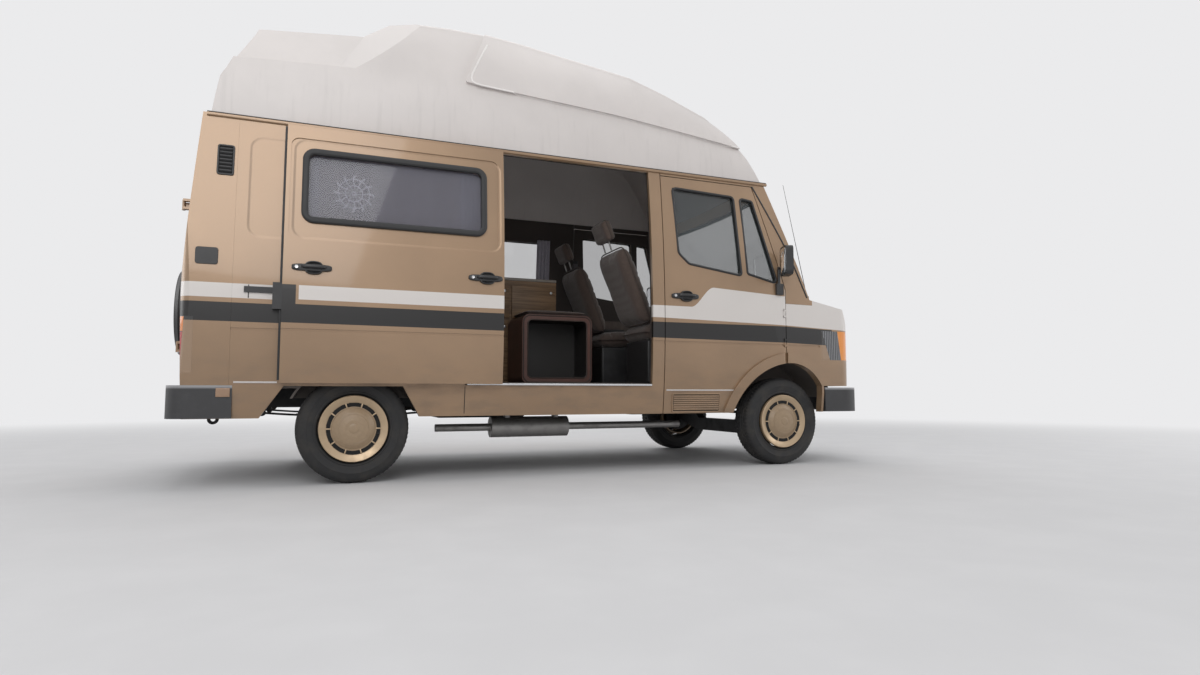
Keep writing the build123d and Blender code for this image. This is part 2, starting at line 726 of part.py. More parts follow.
def core_section(row, inset):
    """Section of the core behind the step."""
    share, ledge_z, shoulder_z = row
    x = share * wheelbase
    right = [(x, -core_foot + inset, gutter_z), (x, -core_foot + inset, ledge_z - 20),
             (x, -core_shoulder + inset * 0.7, shoulder_z - inset)]
    left = [(x, -py, pz) for x, py, pz in reversed(right)]
    crown = (x, 0, shoulder_z + roof_crown - 12 - inset)
    edges = [Line(right[0], right[1]), Line(right[1], right[2]), ThreePointArc(right[2], crown, left[0]),
             Line(left[0], left[1]), Line(left[1], left[2]), Line(left[2], right[0])]
    return make_face(edges)


def cut_back(shape, point, normal, inset):
    """Shape without what lies beyond a plane, which moves inward by the inset."""
    plane = Plane(origin=point, z_dir=normal)
    return split(shape, bisect_by=plane.offset(-inset), keep=Keep.BOTTOM)


# Raised panel on each side of the front part, in side view
panel_points = [
    (0.2066 * wheelbase, 2545), (0.2311 * wheelbase, 2537), (0.548 * wheelbase, 2480),
    (0.865 * wheelbase, 2389), (1.10 * wheelbase, 2330), (1.10 * wheelbase, 3200), (0.286 * wheelbase, 3200),
]


def roof_hull(inset):
    """Roof for no inset, the space under it for an inset."""
    hull = loft([roof_section(row, inset, 0) for row in roof_sections], ruled=True)
    if inset == 0:
        panel_zone = side_plate(panel_points, -far, far, 12)
        raised = loft([roof_section(row, 0, panel_raise) for row in roof_sections], ruled=True)
        hull = (hull - panel_zone) + (raised & panel_zone)
    ledge = [(rear_x - 200, gutter_z - inset - 1), (rear_x - 200, 2448 - inset), (0.16 * wheelbase, 2562 - inset),
             (0.16 * wheelbase, gutter_z - inset - 1)]
    lower = hull & side_plate(ledge, -far, far)
    upper = cut_back(hull, step_top[0], step_top[1], inset)
    for sign in (1, -1):
        (x, y, z), (nx, ny, nz) = step_side
        upper = cut_back(upper, (x, sign * y, z), (nx, sign * ny, nz), inset)
    core = loft([core_section(row, inset) for row in core_sections], ruled=True)
    return lower + upper + core


def roof_ends(inset):
    """Space between the roof's sloping rear end and its bowed front end."""
    points = [
        (rear_x + 110, gutter_z), (rear_x + 130, 2250), (rear_x + 146, 2345), (rear_x + 178, 2405),
        (rear_x + 303, 2700), (rear_x + 500, 3300), (front_x - 1000, 3300), (front_x - 700, 2810),
        (front_x - 543, 2655), (front_x - 418, 2554), (front_x - 292, 2430), (front_x - 195, 2300),
        (front_x - 118, 2167), (front_x - 92, gutter_z),
    ]
    if inset > 0:
        points = points + [(front_x - 60, gutter_z - 60), (rear_x + 100, gutter_z - 60)]
    face = side_face(points)
    if inset > 0:
        face = offset(face, amount=-inset, kind=Kind.INTERSECTION)
    split_x = front_x - 1500
    rear_part = (extrude(face, amount=far, both=True, dir=(0, 1, 0))
                 & block(rear_x - 500, split_x, -far, far, 1000, 4000))
    front_face = face & side_face([(split_x - 300, 1000), (nose_x + 900, 1000),
                                   (nose_x + 900, 4000), (split_x - 300, 4000)])
    return rear_part + swept_front(front_face)


roof_outer = roof_hull(0) & roof_ends(0)
roof_inner = roof_hull(roof_wall) & roof_ends(roof_wall)
high_roof = roof_outer - roof_inner
store("high_roof", high_roof)

# Floor pan with wheel houses, engine cover and bulkhead, each its own piece
floor_space = body_hull(wall + seat_gap, 300)
door_zones = (block(front_x + door_rear - 20, front_x + 20, -far, far, 0, gutter_z)
              + block(rear_x - 100, rear_x + wall + 60, -far, far, 0, gutter_z))
floor_space = floor_space - ((floor_space - body_hull(wall + door_clearance, 300)) & door_zones)
floor = floor_space & block(rear_x, front_x + 330, -far, far, floor_low, floor_z)
house_thickness = 12
rear_house_radius = 395
front_house_radius = 500
house_inner = wheel_y - 230


def wheel_house(x, radius, y_low, y_high):
    """Part of a drum over a wheel, open below and outside."""
    drum = rod_y(x, wheel_z, y_low, y_high, radius)
    hollow = rod_y(x, wheel_z, y_low + house_thickness, y_high + 10, radius - house_thickness)
    above = block(x - 700, x + 700, -far, far, floor_low - house_drop, 2000)
    return (drum & above), (hollow & above)


house_drop = 60
rear_drum, rear_hollow = wheel_house(0, rear_house_radius, house_inner, half_width + 20)
front_drum, front_hollow = wheel_house(front_x, front_house_radius, house_inner - 60, half_width + 20)
houses = both_sides((rear_drum - rear_hollow) + (front_drum - front_hollow)) & floor_space
hollows = both_sides(rear_hollow + front_hollow)
tunnel_half = 350
tunnel_rear = front_x - 370
tunnel_top = 1010
tunnel_wall = 20
bulkhead_x = front_x + 215
bulkhead_top = 1140
bulkhead = floor_space & block(bulkhead_x, bulkhead_x + tunnel_wall, -far, far, floor_low, bulkhead_top)
tunnel = block(tunnel_rear, bulkhead_x + tunnel_wall, -tunnel_half, tunnel_half, floor_low, tunnel_top)
tunnel_hollow = block(tunnel_rear + tunnel_wall, front_x + 600, -tunnel_half + tunnel_wall,
                      tunnel_half - tunnel_wall, floor_low - 10, tunnel_top - tunnel_wall)
cover_region = block(tunnel_rear, bulkhead_x, -tunnel_half, tunnel_half, floor_low - 10, tunnel_top)
store("floor_pan", (floor + houses) - hollows - cover_region - bulkhead - tunnel_hollow)
store("bulkhead", bulkhead - hollows - tunnel_hollow)
store("engine_cover", (tunnel & cover_region) - tunnel_hollow)

# Chassis frame under the floor
rail_top = floor_low
rail_low = rail_top - rail_height
rail_rear = rear_x + 95
rail_front = front_x + 610
rails = both_sides(block(rail_rear, rail_front, rail_y - rail_width / 2, rail_y + rail_width / 2,
                         rail_low, rail_top))
member_width = 60
cross_stations = [rail_rear + 25, 620, 1500, front_x - 420, rail_front - member_width]
frame_solid = rails
for station in cross_stations:
    frame_solid = frame_solid + block(station, station + member_width, -rail_y, rail_y,
                                      rail_low + 10, rail_top - 8)

# Towing lugs below the rails, one at the front right and one at the rear right
lug_bore = 14
lug_thickness = 20
lug_drop = 70
lug_half = 32
for lug_x in (rail_rear + lug_half, rail_front - lug_half):
    lug = side_plate([(lug_x - lug_half, rail_low), (lug_x + lug_half, rail_low),
                      (lug_x + lug_half, rail_low - lug_drop), (lug_x - lug_half, rail_low - lug_drop)],
                     -rail_y - lug_thickness / 2, -rail_y + lug_thickness / 2)
    lug = lug + rod_y(lug_x, rail_low - lug_drop, -rail_y - lug_thickness / 2,
                      -rail_y + lug_thickness / 2, lug_half)
    lug = lug - rod_y(lug_x, rail_low - lug_drop, -rail_y - lug_thickness, -rail_y + lug_thickness, lug_bore)
    frame_solid = frame_solid + lug
# Jacking pads under the rails
jack_station = 1100
jack_half = 45
jack_depth = 10
frame_solid = frame_solid + both_sides(block(jack_station - jack_half, jack_station + jack_half,
                                             rail_y - rail_width / 2, rail_y + rail_width / 2,
                                             rail_low - jack_depth, rail_low))
store("chassis_frame", frame_solid)

# Engine with gearbox, one plain block
engine = (block(front_x - 330, front_x + 420, -270, 270, 400, 960)
          + block(front_x - 900, front_x - 330, -150, 150, 360, 545))
store("engine", engine - frame_solid)

# Leaf springs over both axles
spring_width = 56
spring_half = 520


def leaf_spring(x, camber):
    """One arched pack of leaves, seated on the axle and hung from the rail."""
    def bow(length, low, height):
        top = low + height
        edges = [
            ThreePointArc((x - length, 0, top + camber), (x, 0, top), (x + length, 0, top + camber)),
            ThreePointArc((x - length, 0, low + camber), (x, 0, low), (x + length, 0, low + camber)),
            Line((x - length, 0, top + camber), (x - length, 0, low + camber)),
            Line((x + length, 0, top + camber), (x + length, 0, low + camber)),
        ]
        return make_face(edges)
    face = bow(spring_half, spring_low + 12, 12) + bow(spring_half * 0.62, spring_low, 13)
    leaf = extrude(face, amount=spring_width / 2, both=True, dir=(0, 1, 0))
    hangers = (rod_y(x - spring_half, spring_low + 18 + camber, -spring_width / 2, spring_width / 2, 20)
               + rod_y(x + spring_half, spring_low + 18 + camber, -spring_width / 2, spring_width / 2, 20)
               + block(x - spring_half - 14, x - spring_half + 14, -spring_width / 2, spring_width / 2,
                       spring_low + 18 + camber, rail_low)
               + block(x + spring_half - 14, x + spring_half + 14, -spring_width / 2, spring_width / 2,
                       spring_low + 18 + camber, rail_low))
    return both_sides((leaf + hangers).moved(Location((0, rail_y, 0))))


axle_tube = 44
spring_low = wheel_z + axle_tube
springs = leaf_spring(0, 24) + leaf_spring(front_x, 24)
store("leaf_springs", springs)

# Rear axle: tube, differential housing, drums and wheel spindles
drum_radius = 135
drum_outer = wheel_y - 45
hub_outer = wheel_y + 40
axle_half = rod_y(0, wheel_z, 0, drum_outer - 60, axle_tube)
axle_half = axle_half + rod_y(0, wheel_z, drum_outer - 70, drum_outer, drum_radius)
axle_half = axle_half + rod_y(0, wheel_z, drum_outer - 1, hub_outer, spindle_radius)
axle_half = axle_half + block(-55, 55, rail_y - 45, rail_y + 45, wheel_z, spring_low)
case_section = [(0, -110), (95, -95), (135, -30), (135, 30), (95, 95), (0, 110)]
case_face = make_face(Polyline(*[(radius, across, 0) for radius, across in case_section], close=True))
differential = Pos(0, 0, wheel_z) * revolve(case_face, axis=Axis.Y)
nose_case = rod_x(0, wheel_z, 60, 250, 62)
store("rear_axle", both_sides(axle_half) + differential + nose_case)

# Front axle: dropped beam with kingpin eyes
eye_radius = 34
eye_half = 42
beam_low = 205
beam_height = 75
beam_points = [
    (-kingpin_y, wheel_z - 30), (-kingpin_y, wheel_z + 30), (-kingpin_y + 62, wheel_z + 30),
    (-rail_y - 60, spring_low), (-rail_y + 60, spring_low), (-rail_y + 130, beam_low + beam_height + 30),
    (rail_y - 130, beam_low + beam_height + 30), (rail_y - 60, spring_low), (rail_y + 60, spring_low),
    (kingpin_y - 62, wheel_z + 30), (kingpin_y, wheel_z + 30), (kingpin_y, wheel_z - 30),
    (kingpin_y - 62, wheel_z - 30), (rail_y + 40, beam_low + 30), (rail_y - 100, beam_low),
    (-rail_y + 100, beam_low), (-rail_y - 40, beam_low + 30), (-kingpin_y + 62, wheel_z - 30),
]
beam = cross_plate(beam_points, front_x - 32, front_x + 32)
for sign in (-1, 1):
    beam = beam + rod_z(front_x, sign * kingpin_y, wheel_z - eye_half, wheel_z + eye_half, eye_radius)
    beam = beam - rod_z(front_x, sign * kingpin_y, wheel_z - 60, wheel_z + 60,
                        kingpin_radius + running_clearance)
store("front_axle", beam)

# Knuckles: fork, kingpin, backing plate and spindle
ear_height = 26
ear_gap = 0.4
fork_y = kingpin_y + eye_radius + 6


def knuckle():
    """Left knuckle; its fork closes on the beam's eye."""
    pin = rod_z(front_x, kingpin_y, wheel_z - eye_half - ear_gap - ear_height,
                wheel_z + eye_half + ear_gap + ear_height, kingpin_radius)
    upper = block(front_x - 30, front_x + 30, kingpin_y - 28, fork_y + 22,
                  wheel_z + eye_half + ear_gap, wheel_z + eye_half + ear_gap + ear_height)
    lower = block(front_x - 30, front_x + 30, kingpin_y - 28, fork_y + 22,
                  wheel_z - eye_half - ear_gap - ear_height, wheel_z - eye_half - ear_gap)
    web = block(front_x - 30, front_x + 30, fork_y, fork_y + 22,
                wheel_z - eye_half - ear_height, wheel_z + eye_half + ear_height)
    plate = rod_y(front_x, wheel_z, fork_y + 10, drum_outer, drum_radius)
    spindle = rod_y(front_x, wheel_z, drum_outer - 1, hub_outer, spindle_radius)
    arm_bar = block(front_x - 165, front_x - 25, kingpin_y + 6, kingpin_y + 30, wheel_z - 84, wheel_z - 62)
    return pin + upper + lower + web + plate + spindle + arm_bar


knuckle_left = knuckle()
store("knuckle_left", knuckle_left)
store("knuckle_right", other_side(knuckle_left))


# Wheels: section columns are radius, distance outward from the wheel's middle
def turned(section):
    """Ring turned about the wheel's axle, open side outward along y."""
    points = [(radius, across, 0) for radius, across in section]
    ring = revolve(make_face(Polyline(*points, close=True)), axis=Axis.Y)
    return ring


def faceted_ring(section, sides):
    """Ring of flat facets with the same section as a turned one; no corner lies inside the bore."""
    def corner(index, radius, across):
        angle = 2 * pi * index / sides
        reach = radius / cos(pi / sides) if radius == section[0][0] else radius
        return (reach * cos(angle), across, reach * sin(angle))

    faces = []
    for (r_near, y_near), (r_next, y_next) in zip(section, section[1:] + section[:1]):
        for index in range(sides):
            quad = [corner(index, r_near, y_near), corner(index, r_next, y_next),
                    corner(index + 1, r_next, y_next), corner(index + 1, r_near, y_near)]
            faces.append(make_face(Polyline(*quad, close=True)).face())
    return Solid(Shell(faces))


half_tyre = tyre_width / 2
tyre_sides = 72
tyre_bore = rim_radius + seat_gap
tyre_section = [
    (tyre_bore, -half_tyre + 21), (tyre_radius - 67, -half_tyre), (tyre_radius - 11, -half_tyre + 12),
    (tyre_radius, -half_tyre + 30), (tyre_radius, half_tyre - 30), (tyre_radius - 11, half_tyre - 12),
    (tyre_radius - 67, half_tyre), (tyre_bore, half_tyre - 21),
]
tyre = faceted_ring(tyre_section, tyre_sides)
bore_radius = spindle_radius + running_clearance
cover_face = half_tyre + 8
rim_section = [
    (bore_radius, -20), (hub_radius, -20), (hub_radius, cover_face - 24), (rim_radius - 12, cover_face - 24),
    (rim_radius - 12, -half_tyre + 10), (rim_radius, -half_tyre + 10), (rim_radius, half_tyre - 20),
    (rim_radius + 19, half_tyre - 8), (rim_radius + 17, cover_face - 2), (rim_radius - 24, cover_face - 14),
    (hub_radius + 62, cover_face - 14), (hub_radius + 36, cover_face + 2), (hub_radius - 10, cover_face + 10),
    (0, cover_face + 10), (0, 45), (bore_radius, 45),
]
rim = turned(rim_section)
slot_total = 10
slot_inner = hub_radius + 68
slot_outer = rim_radius - 26
for index in range(slot_total):
    turn = 360 / slot_total * index
    slot_block = Pos(0, cover_face - 20, (slot_inner + slot_outer) / 2) * Box(56, 30, slot_outer - slot_inner)
    rim = rim - Rot(0, turn, 0) * slot_block

for corner, x, sign in (("front_left", front_x, 1), ("front_right", front_x, -1),
                        ("rear_left", 0, 1), ("rear_right", 0, -1)):
    for name, ring in (("tyre_", tyre), ("wheel_", rim)):
        placed = ring.moved(Location((x, wheel_y, wheel_z)))
        store(name + corner, placed if sign > 0 else other_side(placed))

# Exhaust and fuel tank
exhaust = (rod_x(-560, 300, 900, 1450, 70) + rod_x(-560, 300, -30 + 560, 900, 25)
           + rod_x(-560, 300, 1450, front_x - 700, 25)
           + block(1000, 1030, -590, -530, 360, floor_low) + block(1350, 1380, -590, -530, 360, floor_low))
store("exhaust", exhaust)
store("fuel_tank", side_plate([(700, 330), (700, floor_low), (1450, floor_low), (1450, 330)], 500, 880, 30))

# Cab: dashboard, steering wheel, seats
dash_low = 960
dash_zone = floor_space & block(front_x - 60, bulkhead_x - 1, -far, far, dash_low, 1212)
dash_cut = side_plate([(front_x - 100, 900), (front_x - 100, 1120), (front_x + 60, dash_low + 20),
                       (front_x + 60, 900)], -far, far)
dash = dash_zone - dash_cut - block(
    tunnel_rear - 10, bulkhead_x + 30, -tunnel_half - 1, tunnel_half + 1, 0, tunnel_top + 1)
store("dashboard", dash)
wheel_centre = (front_x - 255, 410, 1140)
column_lean = 40
column_radius = 24
column_length = 900
steering_radius = 200
rim_half = 12
rim_face = make_face(Polyline((steering_radius - rim_half, 0, 0), (steering_radius, 0, rim_half),
                              (steering_radius + rim_half, 0, 0), (steering_radius, 0, -rim_half), close=True))
steering = revolve(rim_face, axis=Axis.Z) + Cylinder(45, 36) + Box(30, 2 * steering_radius - 8, 12)
steering = steering + Pos(0, 0, -column_length / 2) * Cylinder(column_radius, column_length)
steering = Pos(*wheel_centre) * Rot(0, -column_lean, 0) * steering
store("steering_wheel", steering & block(0, bulkhead_x - seat_gap, 0, far, floor_z + seat_gap, 2000))

seat_x = front_x - 800
seat_width = 470
seat_y = 450
cushion_z = floor_z + 330


def cab_seat(y):
    """Box base, cushion and leaning back of one seat."""
    low = y - seat_width / 2
    high = y + seat_width / 2
    base = side_plate([(seat_x - 200, floor_z), (seat_x - 200, cushion_z), (seat_x + 210, cushion_z),
                       (seat_x + 210, floor_z)], low + 30, high - 30)
    cushion = side_plate([(seat_x - 230, cushion_z - 1), (seat_x - 230, cushion_z + 120),
                          (seat_x + 270, cushion_z + 140), (seat_x + 270, cushion_z - 1)], low, high, 30)
    back = side_plate([(seat_x - 240, cushion_z + 90), (seat_x - 470, cushion_z + 660),
                       (seat_x - 350, cushion_z + 710), (seat_x - 110, cushion_z + 110)], low, high, 35)
    head = side_plate([(seat_x - 480, cushion_z + 720), (seat_x - 540, cushion_z + 870),
                       (seat_x - 460, cushion_z + 900), (seat_x - 400, cushion_z + 750)],
                      y - 130, y + 130, 25)
    stalks = block(seat_x - 445, seat_x - 431, y - 70, y + 70, cushion_z + 640, cushion_z + 780)
    return base + cushion + back + head + stalks


store("cab_seats", cab_seat(seat_y) + cab_seat(-seat_y))

# Living space: bench across the rear, kitchen along the left wall, tall cupboard
inner_space = body_hull(wall + 8, 300)
bench_rear = rear_x + 100
bench_front = bench_rear + 570
bench = (block(bench_rear, bench_front, -860, 860, floor_z, 1010) & inner_space) - both_sides(rear_drum)
store("rear_bench", bench)
wardrobe_front = bench_front + 690
kitchen_rear = wardrobe_front + 40
kitchen_front = doorway_front - 235
kitchen = block(kitchen_rear, kitchen_front, 430, far, floor_z, 1480) & inner_space
wardrobe = (block(bench_front + 10, wardrobe_front, 330, far, floor_z, 2080) & inner_space) - rear_drum
store("cabinets", kitchen + wardrobe)
dinette_front = doorway_front - 85
dinette_rear = dinette_front - 580
dinette_top = 1150
dinette_rim = 48


def dinette_outline(shrink):
    return [(dinette_rear + shrink, floor_z + shrink), (dinette_rear + shrink, dinette_top - shrink),
            (dinette_front - shrink, dinette_top - shrink), (dinette_front - shrink, floor_z + shrink)]


dinette = (side_plate(dinette_outline(0), -40, 400, 62)
           - side_plate(dinette_outline(dinette_rim), -50, 240, 34))
store("dinette_seat", dinette)

# Stored pieces, with the origin moved to mid length
low_x = min(shape.bounding_box().min.X for shape in parts.values())
high_x = max(shape.bounding_box().max.X for shape in parts.values())
middle = Location((-(low_x + high_x) / 2, 0, 0))
os.makedirs("parts", exist_ok=True)
for name, shape in parts.items():
    export_step(shape.moved(middle), "parts/" + name + ".step")
print("origin shift", round(-(low_x + high_x) / 2, 3), "pieces", len(parts))
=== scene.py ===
"""Looks of the camper van: its finishes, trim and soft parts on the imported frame."""

import json
import logging
from dataclasses import dataclass, field
from enum import Enum
from typing import Any, Sequence

import bpy
import numpy as np
from mathutils import Euler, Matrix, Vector
from mathutils.bvhtree import BVHTree

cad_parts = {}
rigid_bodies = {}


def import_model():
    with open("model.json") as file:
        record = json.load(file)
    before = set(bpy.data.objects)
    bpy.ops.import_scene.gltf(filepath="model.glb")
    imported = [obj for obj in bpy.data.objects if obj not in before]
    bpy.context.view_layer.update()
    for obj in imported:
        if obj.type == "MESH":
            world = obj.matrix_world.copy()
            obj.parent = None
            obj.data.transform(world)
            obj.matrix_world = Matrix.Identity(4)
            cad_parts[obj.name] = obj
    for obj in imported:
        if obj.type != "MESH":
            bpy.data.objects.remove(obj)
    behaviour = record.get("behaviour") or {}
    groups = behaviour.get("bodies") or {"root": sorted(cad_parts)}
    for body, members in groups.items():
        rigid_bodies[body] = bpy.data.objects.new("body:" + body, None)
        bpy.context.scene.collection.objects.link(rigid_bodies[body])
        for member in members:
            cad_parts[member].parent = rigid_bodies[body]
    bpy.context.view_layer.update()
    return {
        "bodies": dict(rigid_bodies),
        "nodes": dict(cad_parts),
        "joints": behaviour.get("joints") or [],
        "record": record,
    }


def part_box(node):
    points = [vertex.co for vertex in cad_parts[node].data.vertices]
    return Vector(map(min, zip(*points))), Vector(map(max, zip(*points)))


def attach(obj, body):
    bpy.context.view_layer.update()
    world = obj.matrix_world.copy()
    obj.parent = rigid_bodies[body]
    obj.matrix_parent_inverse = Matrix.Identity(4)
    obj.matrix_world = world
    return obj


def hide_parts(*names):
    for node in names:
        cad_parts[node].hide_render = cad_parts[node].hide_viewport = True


log = logging.getLogger("camper")
Array = np.ndarray
Colour = tuple[float, float, float]
TURN = 2 * np.pi


class Side(Enum):
    """Side of the van, as the sign of y."""

    LEFT = 1
    RIGHT = -1

    @property
    def label(self) -> str:
        """The side's word in the names of pieces and bodies."""
        return self.name.lower()

    @property
    def outward(self) -> Array:
        """Unit direction away from the van's middle."""
        return np.array([0.0, self.value, 0.0])


# Shader maths
class Flow:
    """A socket of a material's nodes, so that maths on it reads as Python."""

    def __init__(self, sheet: "Tree", socket: Any) -> None:
        """Keep the socket and the nodes it belongs to."""
        self.sheet = sheet
        self.socket = socket

    def op(self, operation: str, *others: Any) -> "Flow":
        """Add a Math node.

        Args:
            operation: Blender's name of the operation.
            others: the further inputs, numbers or Flows, with this one first.

        Returns:
            The result.
        """
        return self.sheet.math(operation, self, *others)

    def __add__(self, other: Any) -> "Flow":
        """Sum."""
        return self.op("ADD", other)

    def __mul__(self, other: Any) -> "Flow":
        """Product."""
        return self.op("MULTIPLY", other)

    def __sub__(self, other: Any) -> "Flow":
        """Difference."""
        return self.op("SUBTRACT", other)

    def __rsub__(self, other: Any) -> "Flow":
        """Difference with a number first."""
        return self.sheet.math("SUBTRACT", other, self)

    def __truediv__(self, other: Any) -> "Flow":
        """Quotient."""
        return self.op("DIVIDE", other)

    def __abs__(self) -> "Flow":
        """Size without sign."""
        return self.op("ABSOLUTE")

    def most(self, other: Any) -> "Flow":
        """The greater of two."""
        return self.op("MAXIMUM", other)

    def ramp(self, low: float, high: float) -> "Flow":
        """0 at low, 1 at high and smooth between; low may be the greater.

        Args:
            low: value that gives 0.
            high: value that gives 1.

        Returns:
            The smooth step.
        """
        flip = low > high
        ends = {1: min(low, high), 2: max(low, high), 3: 1.0 if flip else 0.0, 4: 0.0 if flip else 1.0}
        node = self.sheet.node("ShaderNodeMapRange", {"interpolation_type": "SMOOTHSTEP"}, {0: self, **ends})
        return Flow(self.sheet, node.outputs[0])

    def within(self, low: Any, high: Any, edge: float = 0.001) -> "Flow":
        """1 between two bounds, which may be Flows, with edges this soft."""
        above = ((self - low) / edge + 0.5).clip()
        below = ((high - self) / edge + 0.5).clip()
        return above * below

    def clip(self) -> "Flow":
        """Kept between 0 and 1."""
        node = self.sheet.node("ShaderNodeClamp", {}, {0: self})
        return Flow(self.sheet, node.outputs[0])

    def sin(self) -> "Flow":
        """Sine."""
        return self.op("SINE")


class Tree:
    """The nodes of a material or of the world."""

    def __init__(self, tree: Any) -> None:
        """Take a node tree and empty it."""
        self.tree = tree
        tree.nodes.clear()

    def node(self, kind: str, settings: dict | None = None, values: dict | None = None) -> Any:
        """Add one node.

        Args:
            kind: the node's type.
            settings: its own settings, set first.
            values: numbers, colours, sockets or Flows for its inputs, by name or number.

        Returns:
            The node.
        """
        made = self.tree.nodes.new(kind)
        for key, value in (settings or {}).items():
            setattr(made, key, value)
        for key, value in (values or {}).items():
            self.feed(made.inputs[key], value)
        return made

    def feed(self, socket: Any, value: Any) -> None:
        """Set or link one input."""
        if isinstance(value, Flow):
            value = value.socket
        if isinstance(value, bpy.types.NodeSocket):
            self.tree.links.new(value, socket)
        elif isinstance(value, tuple) and len(value) == 3 and socket.type == "RGBA":
            socket.default_value = (*value, 1.0)
        else:
            socket.default_value = value

    def math(self, operation: str, *values: Any) -> Flow:
        """Add a Math node on these values."""
        node = self.node("ShaderNodeMath", {"operation": operation}, dict(enumerate(values)))
        return Flow(self, node.outputs[0])


class Sheet(Tree):
    """The node tree of one material, with a Principled shader ready to dress."""

    def __init__(self, name: str) -> None:
        """Make an empty material of this name."""
        self.material = bpy.data.materials.new(name)
        self.material.use_nodes = True
        super().__init__(self.material.node_tree)
        self.shader = self.node("ShaderNodeBsdfPrincipled")
        self.output = self.node("ShaderNodeOutputMaterial", {}, {"Surface": self.shader.outputs[0]})
        self.coords = self.node("ShaderNodeTexCoord")

    def stretched(self, stretch: Sequence[float]) -> Any:
        """Object coordinates with a factor along x, y and z."""
        mapped = self.node("ShaderNodeMapping", {},
                           {"Vector": self.coords.outputs["Object"], "Scale": tuple(stretch)})
        return mapped.outputs[0]

    def place(self) -> tuple[Flow, Flow, Flow]:
        """Object coordinates in metres: station, width and height in the row frame."""
        split = self.node("ShaderNodeSeparateXYZ", {}, {0: self.coords.outputs["Object"]})
        return tuple(Flow(self, out) for out in split.outputs)

    def grain(self, scale: float, detail: float, stretch: Sequence[float] = (1, 1, 1)) -> Flow:
        """Noise on Object coordinates.

        Args:
            scale: waves in a metre.
            detail: octaves.
            stretch: factors along x, y and z.

        Returns:
            Noise from 0 to 1.
        """
        node = self.node("ShaderNodeTexNoise", {}, {"Vector": self.stretched(stretch), "Scale": scale,
                                                    "Detail": detail, "Roughness": 0.55})
        return Flow(self, node.outputs[0])

    def cells(self, scale: float) -> Flow:
        """Distance to the nearest cell centre of a Voronoi pattern, on Object coordinates."""
        node = self.node("ShaderNodeTexVoronoi", {}, {"Vector": self.stretched((1, 1, 1)), "Scale": scale})
        return Flow(self, node.outputs[0])

    def tint(self, mask: Any, off: Any, on: Any) -> Flow:
        """Colour off where the mask is 0 and on where it is 1."""
        node = self.node("ShaderNodeMix", {"data_type": "RGBA"}, {0: mask, 6: off, 7: on})
        return Flow(self, node.outputs[2])

    def bump(self, height: Any, depth: float, strength: float = 1.0) -> None:
        """Bump of the surface from a height from 0 to 1, with its depth in metres."""
        node = self.node("ShaderNodeBump", {}, {"Strength": strength, "Distance": depth, "Height": height})
        self.feed(self.shader.inputs["Normal"], node.outputs[0])

    def set(self, **values: Any) -> None:
        """Set the shader's inputs, named with underscores for blanks."""
        for key, value in values.items():
            self.feed(self.shader.inputs[key.replace("_", " ")], value)


# Finishes
@dataclass(frozen=True)
class Finish:
    """A finish: its name, its main colour and how glossy it is."""

    name: str
    colour: Colour = (0.5, 0.5, 0.5)
    roughness: float = 0.5

    def dress(self, sheet: Sheet) -> None:
        """Set the shader of a new material; each kind of finish has its own."""
        speck = sheet.grain(60.0, 4.0)
        sheet.set(Base_Color=self.clouded(sheet, speck.ramp(0.3, 0.8), 0.94, 1.04),
                  Roughness=speck * 0.15 + (self.roughness - 0.07))
        sheet.bump(sheet.grain(900.0, 2.0), 0.0004, 0.35)

    def clouded(self, sheet: Sheet, mask: Flow, off: float, on: float) -> Flow:
        """The main colour, times one factor where the mask is 0 and another where it is 1."""
        return sheet.tint(mask, self.shade(off), self.shade(on))

    def shade(self, factor: float) -> Colour:
        """The main colour, lighter or darker."""
        return tuple(min(1.0, part * factor) for part in self.colour)

    def material(self) -> Any:
        """The finish's material, made once."""
        made = bpy.data.materials.get(self.name)
        if made is None:
            sheet = Sheet(self.name)
            self.dress(sheet)
            made = sheet.material
        return made


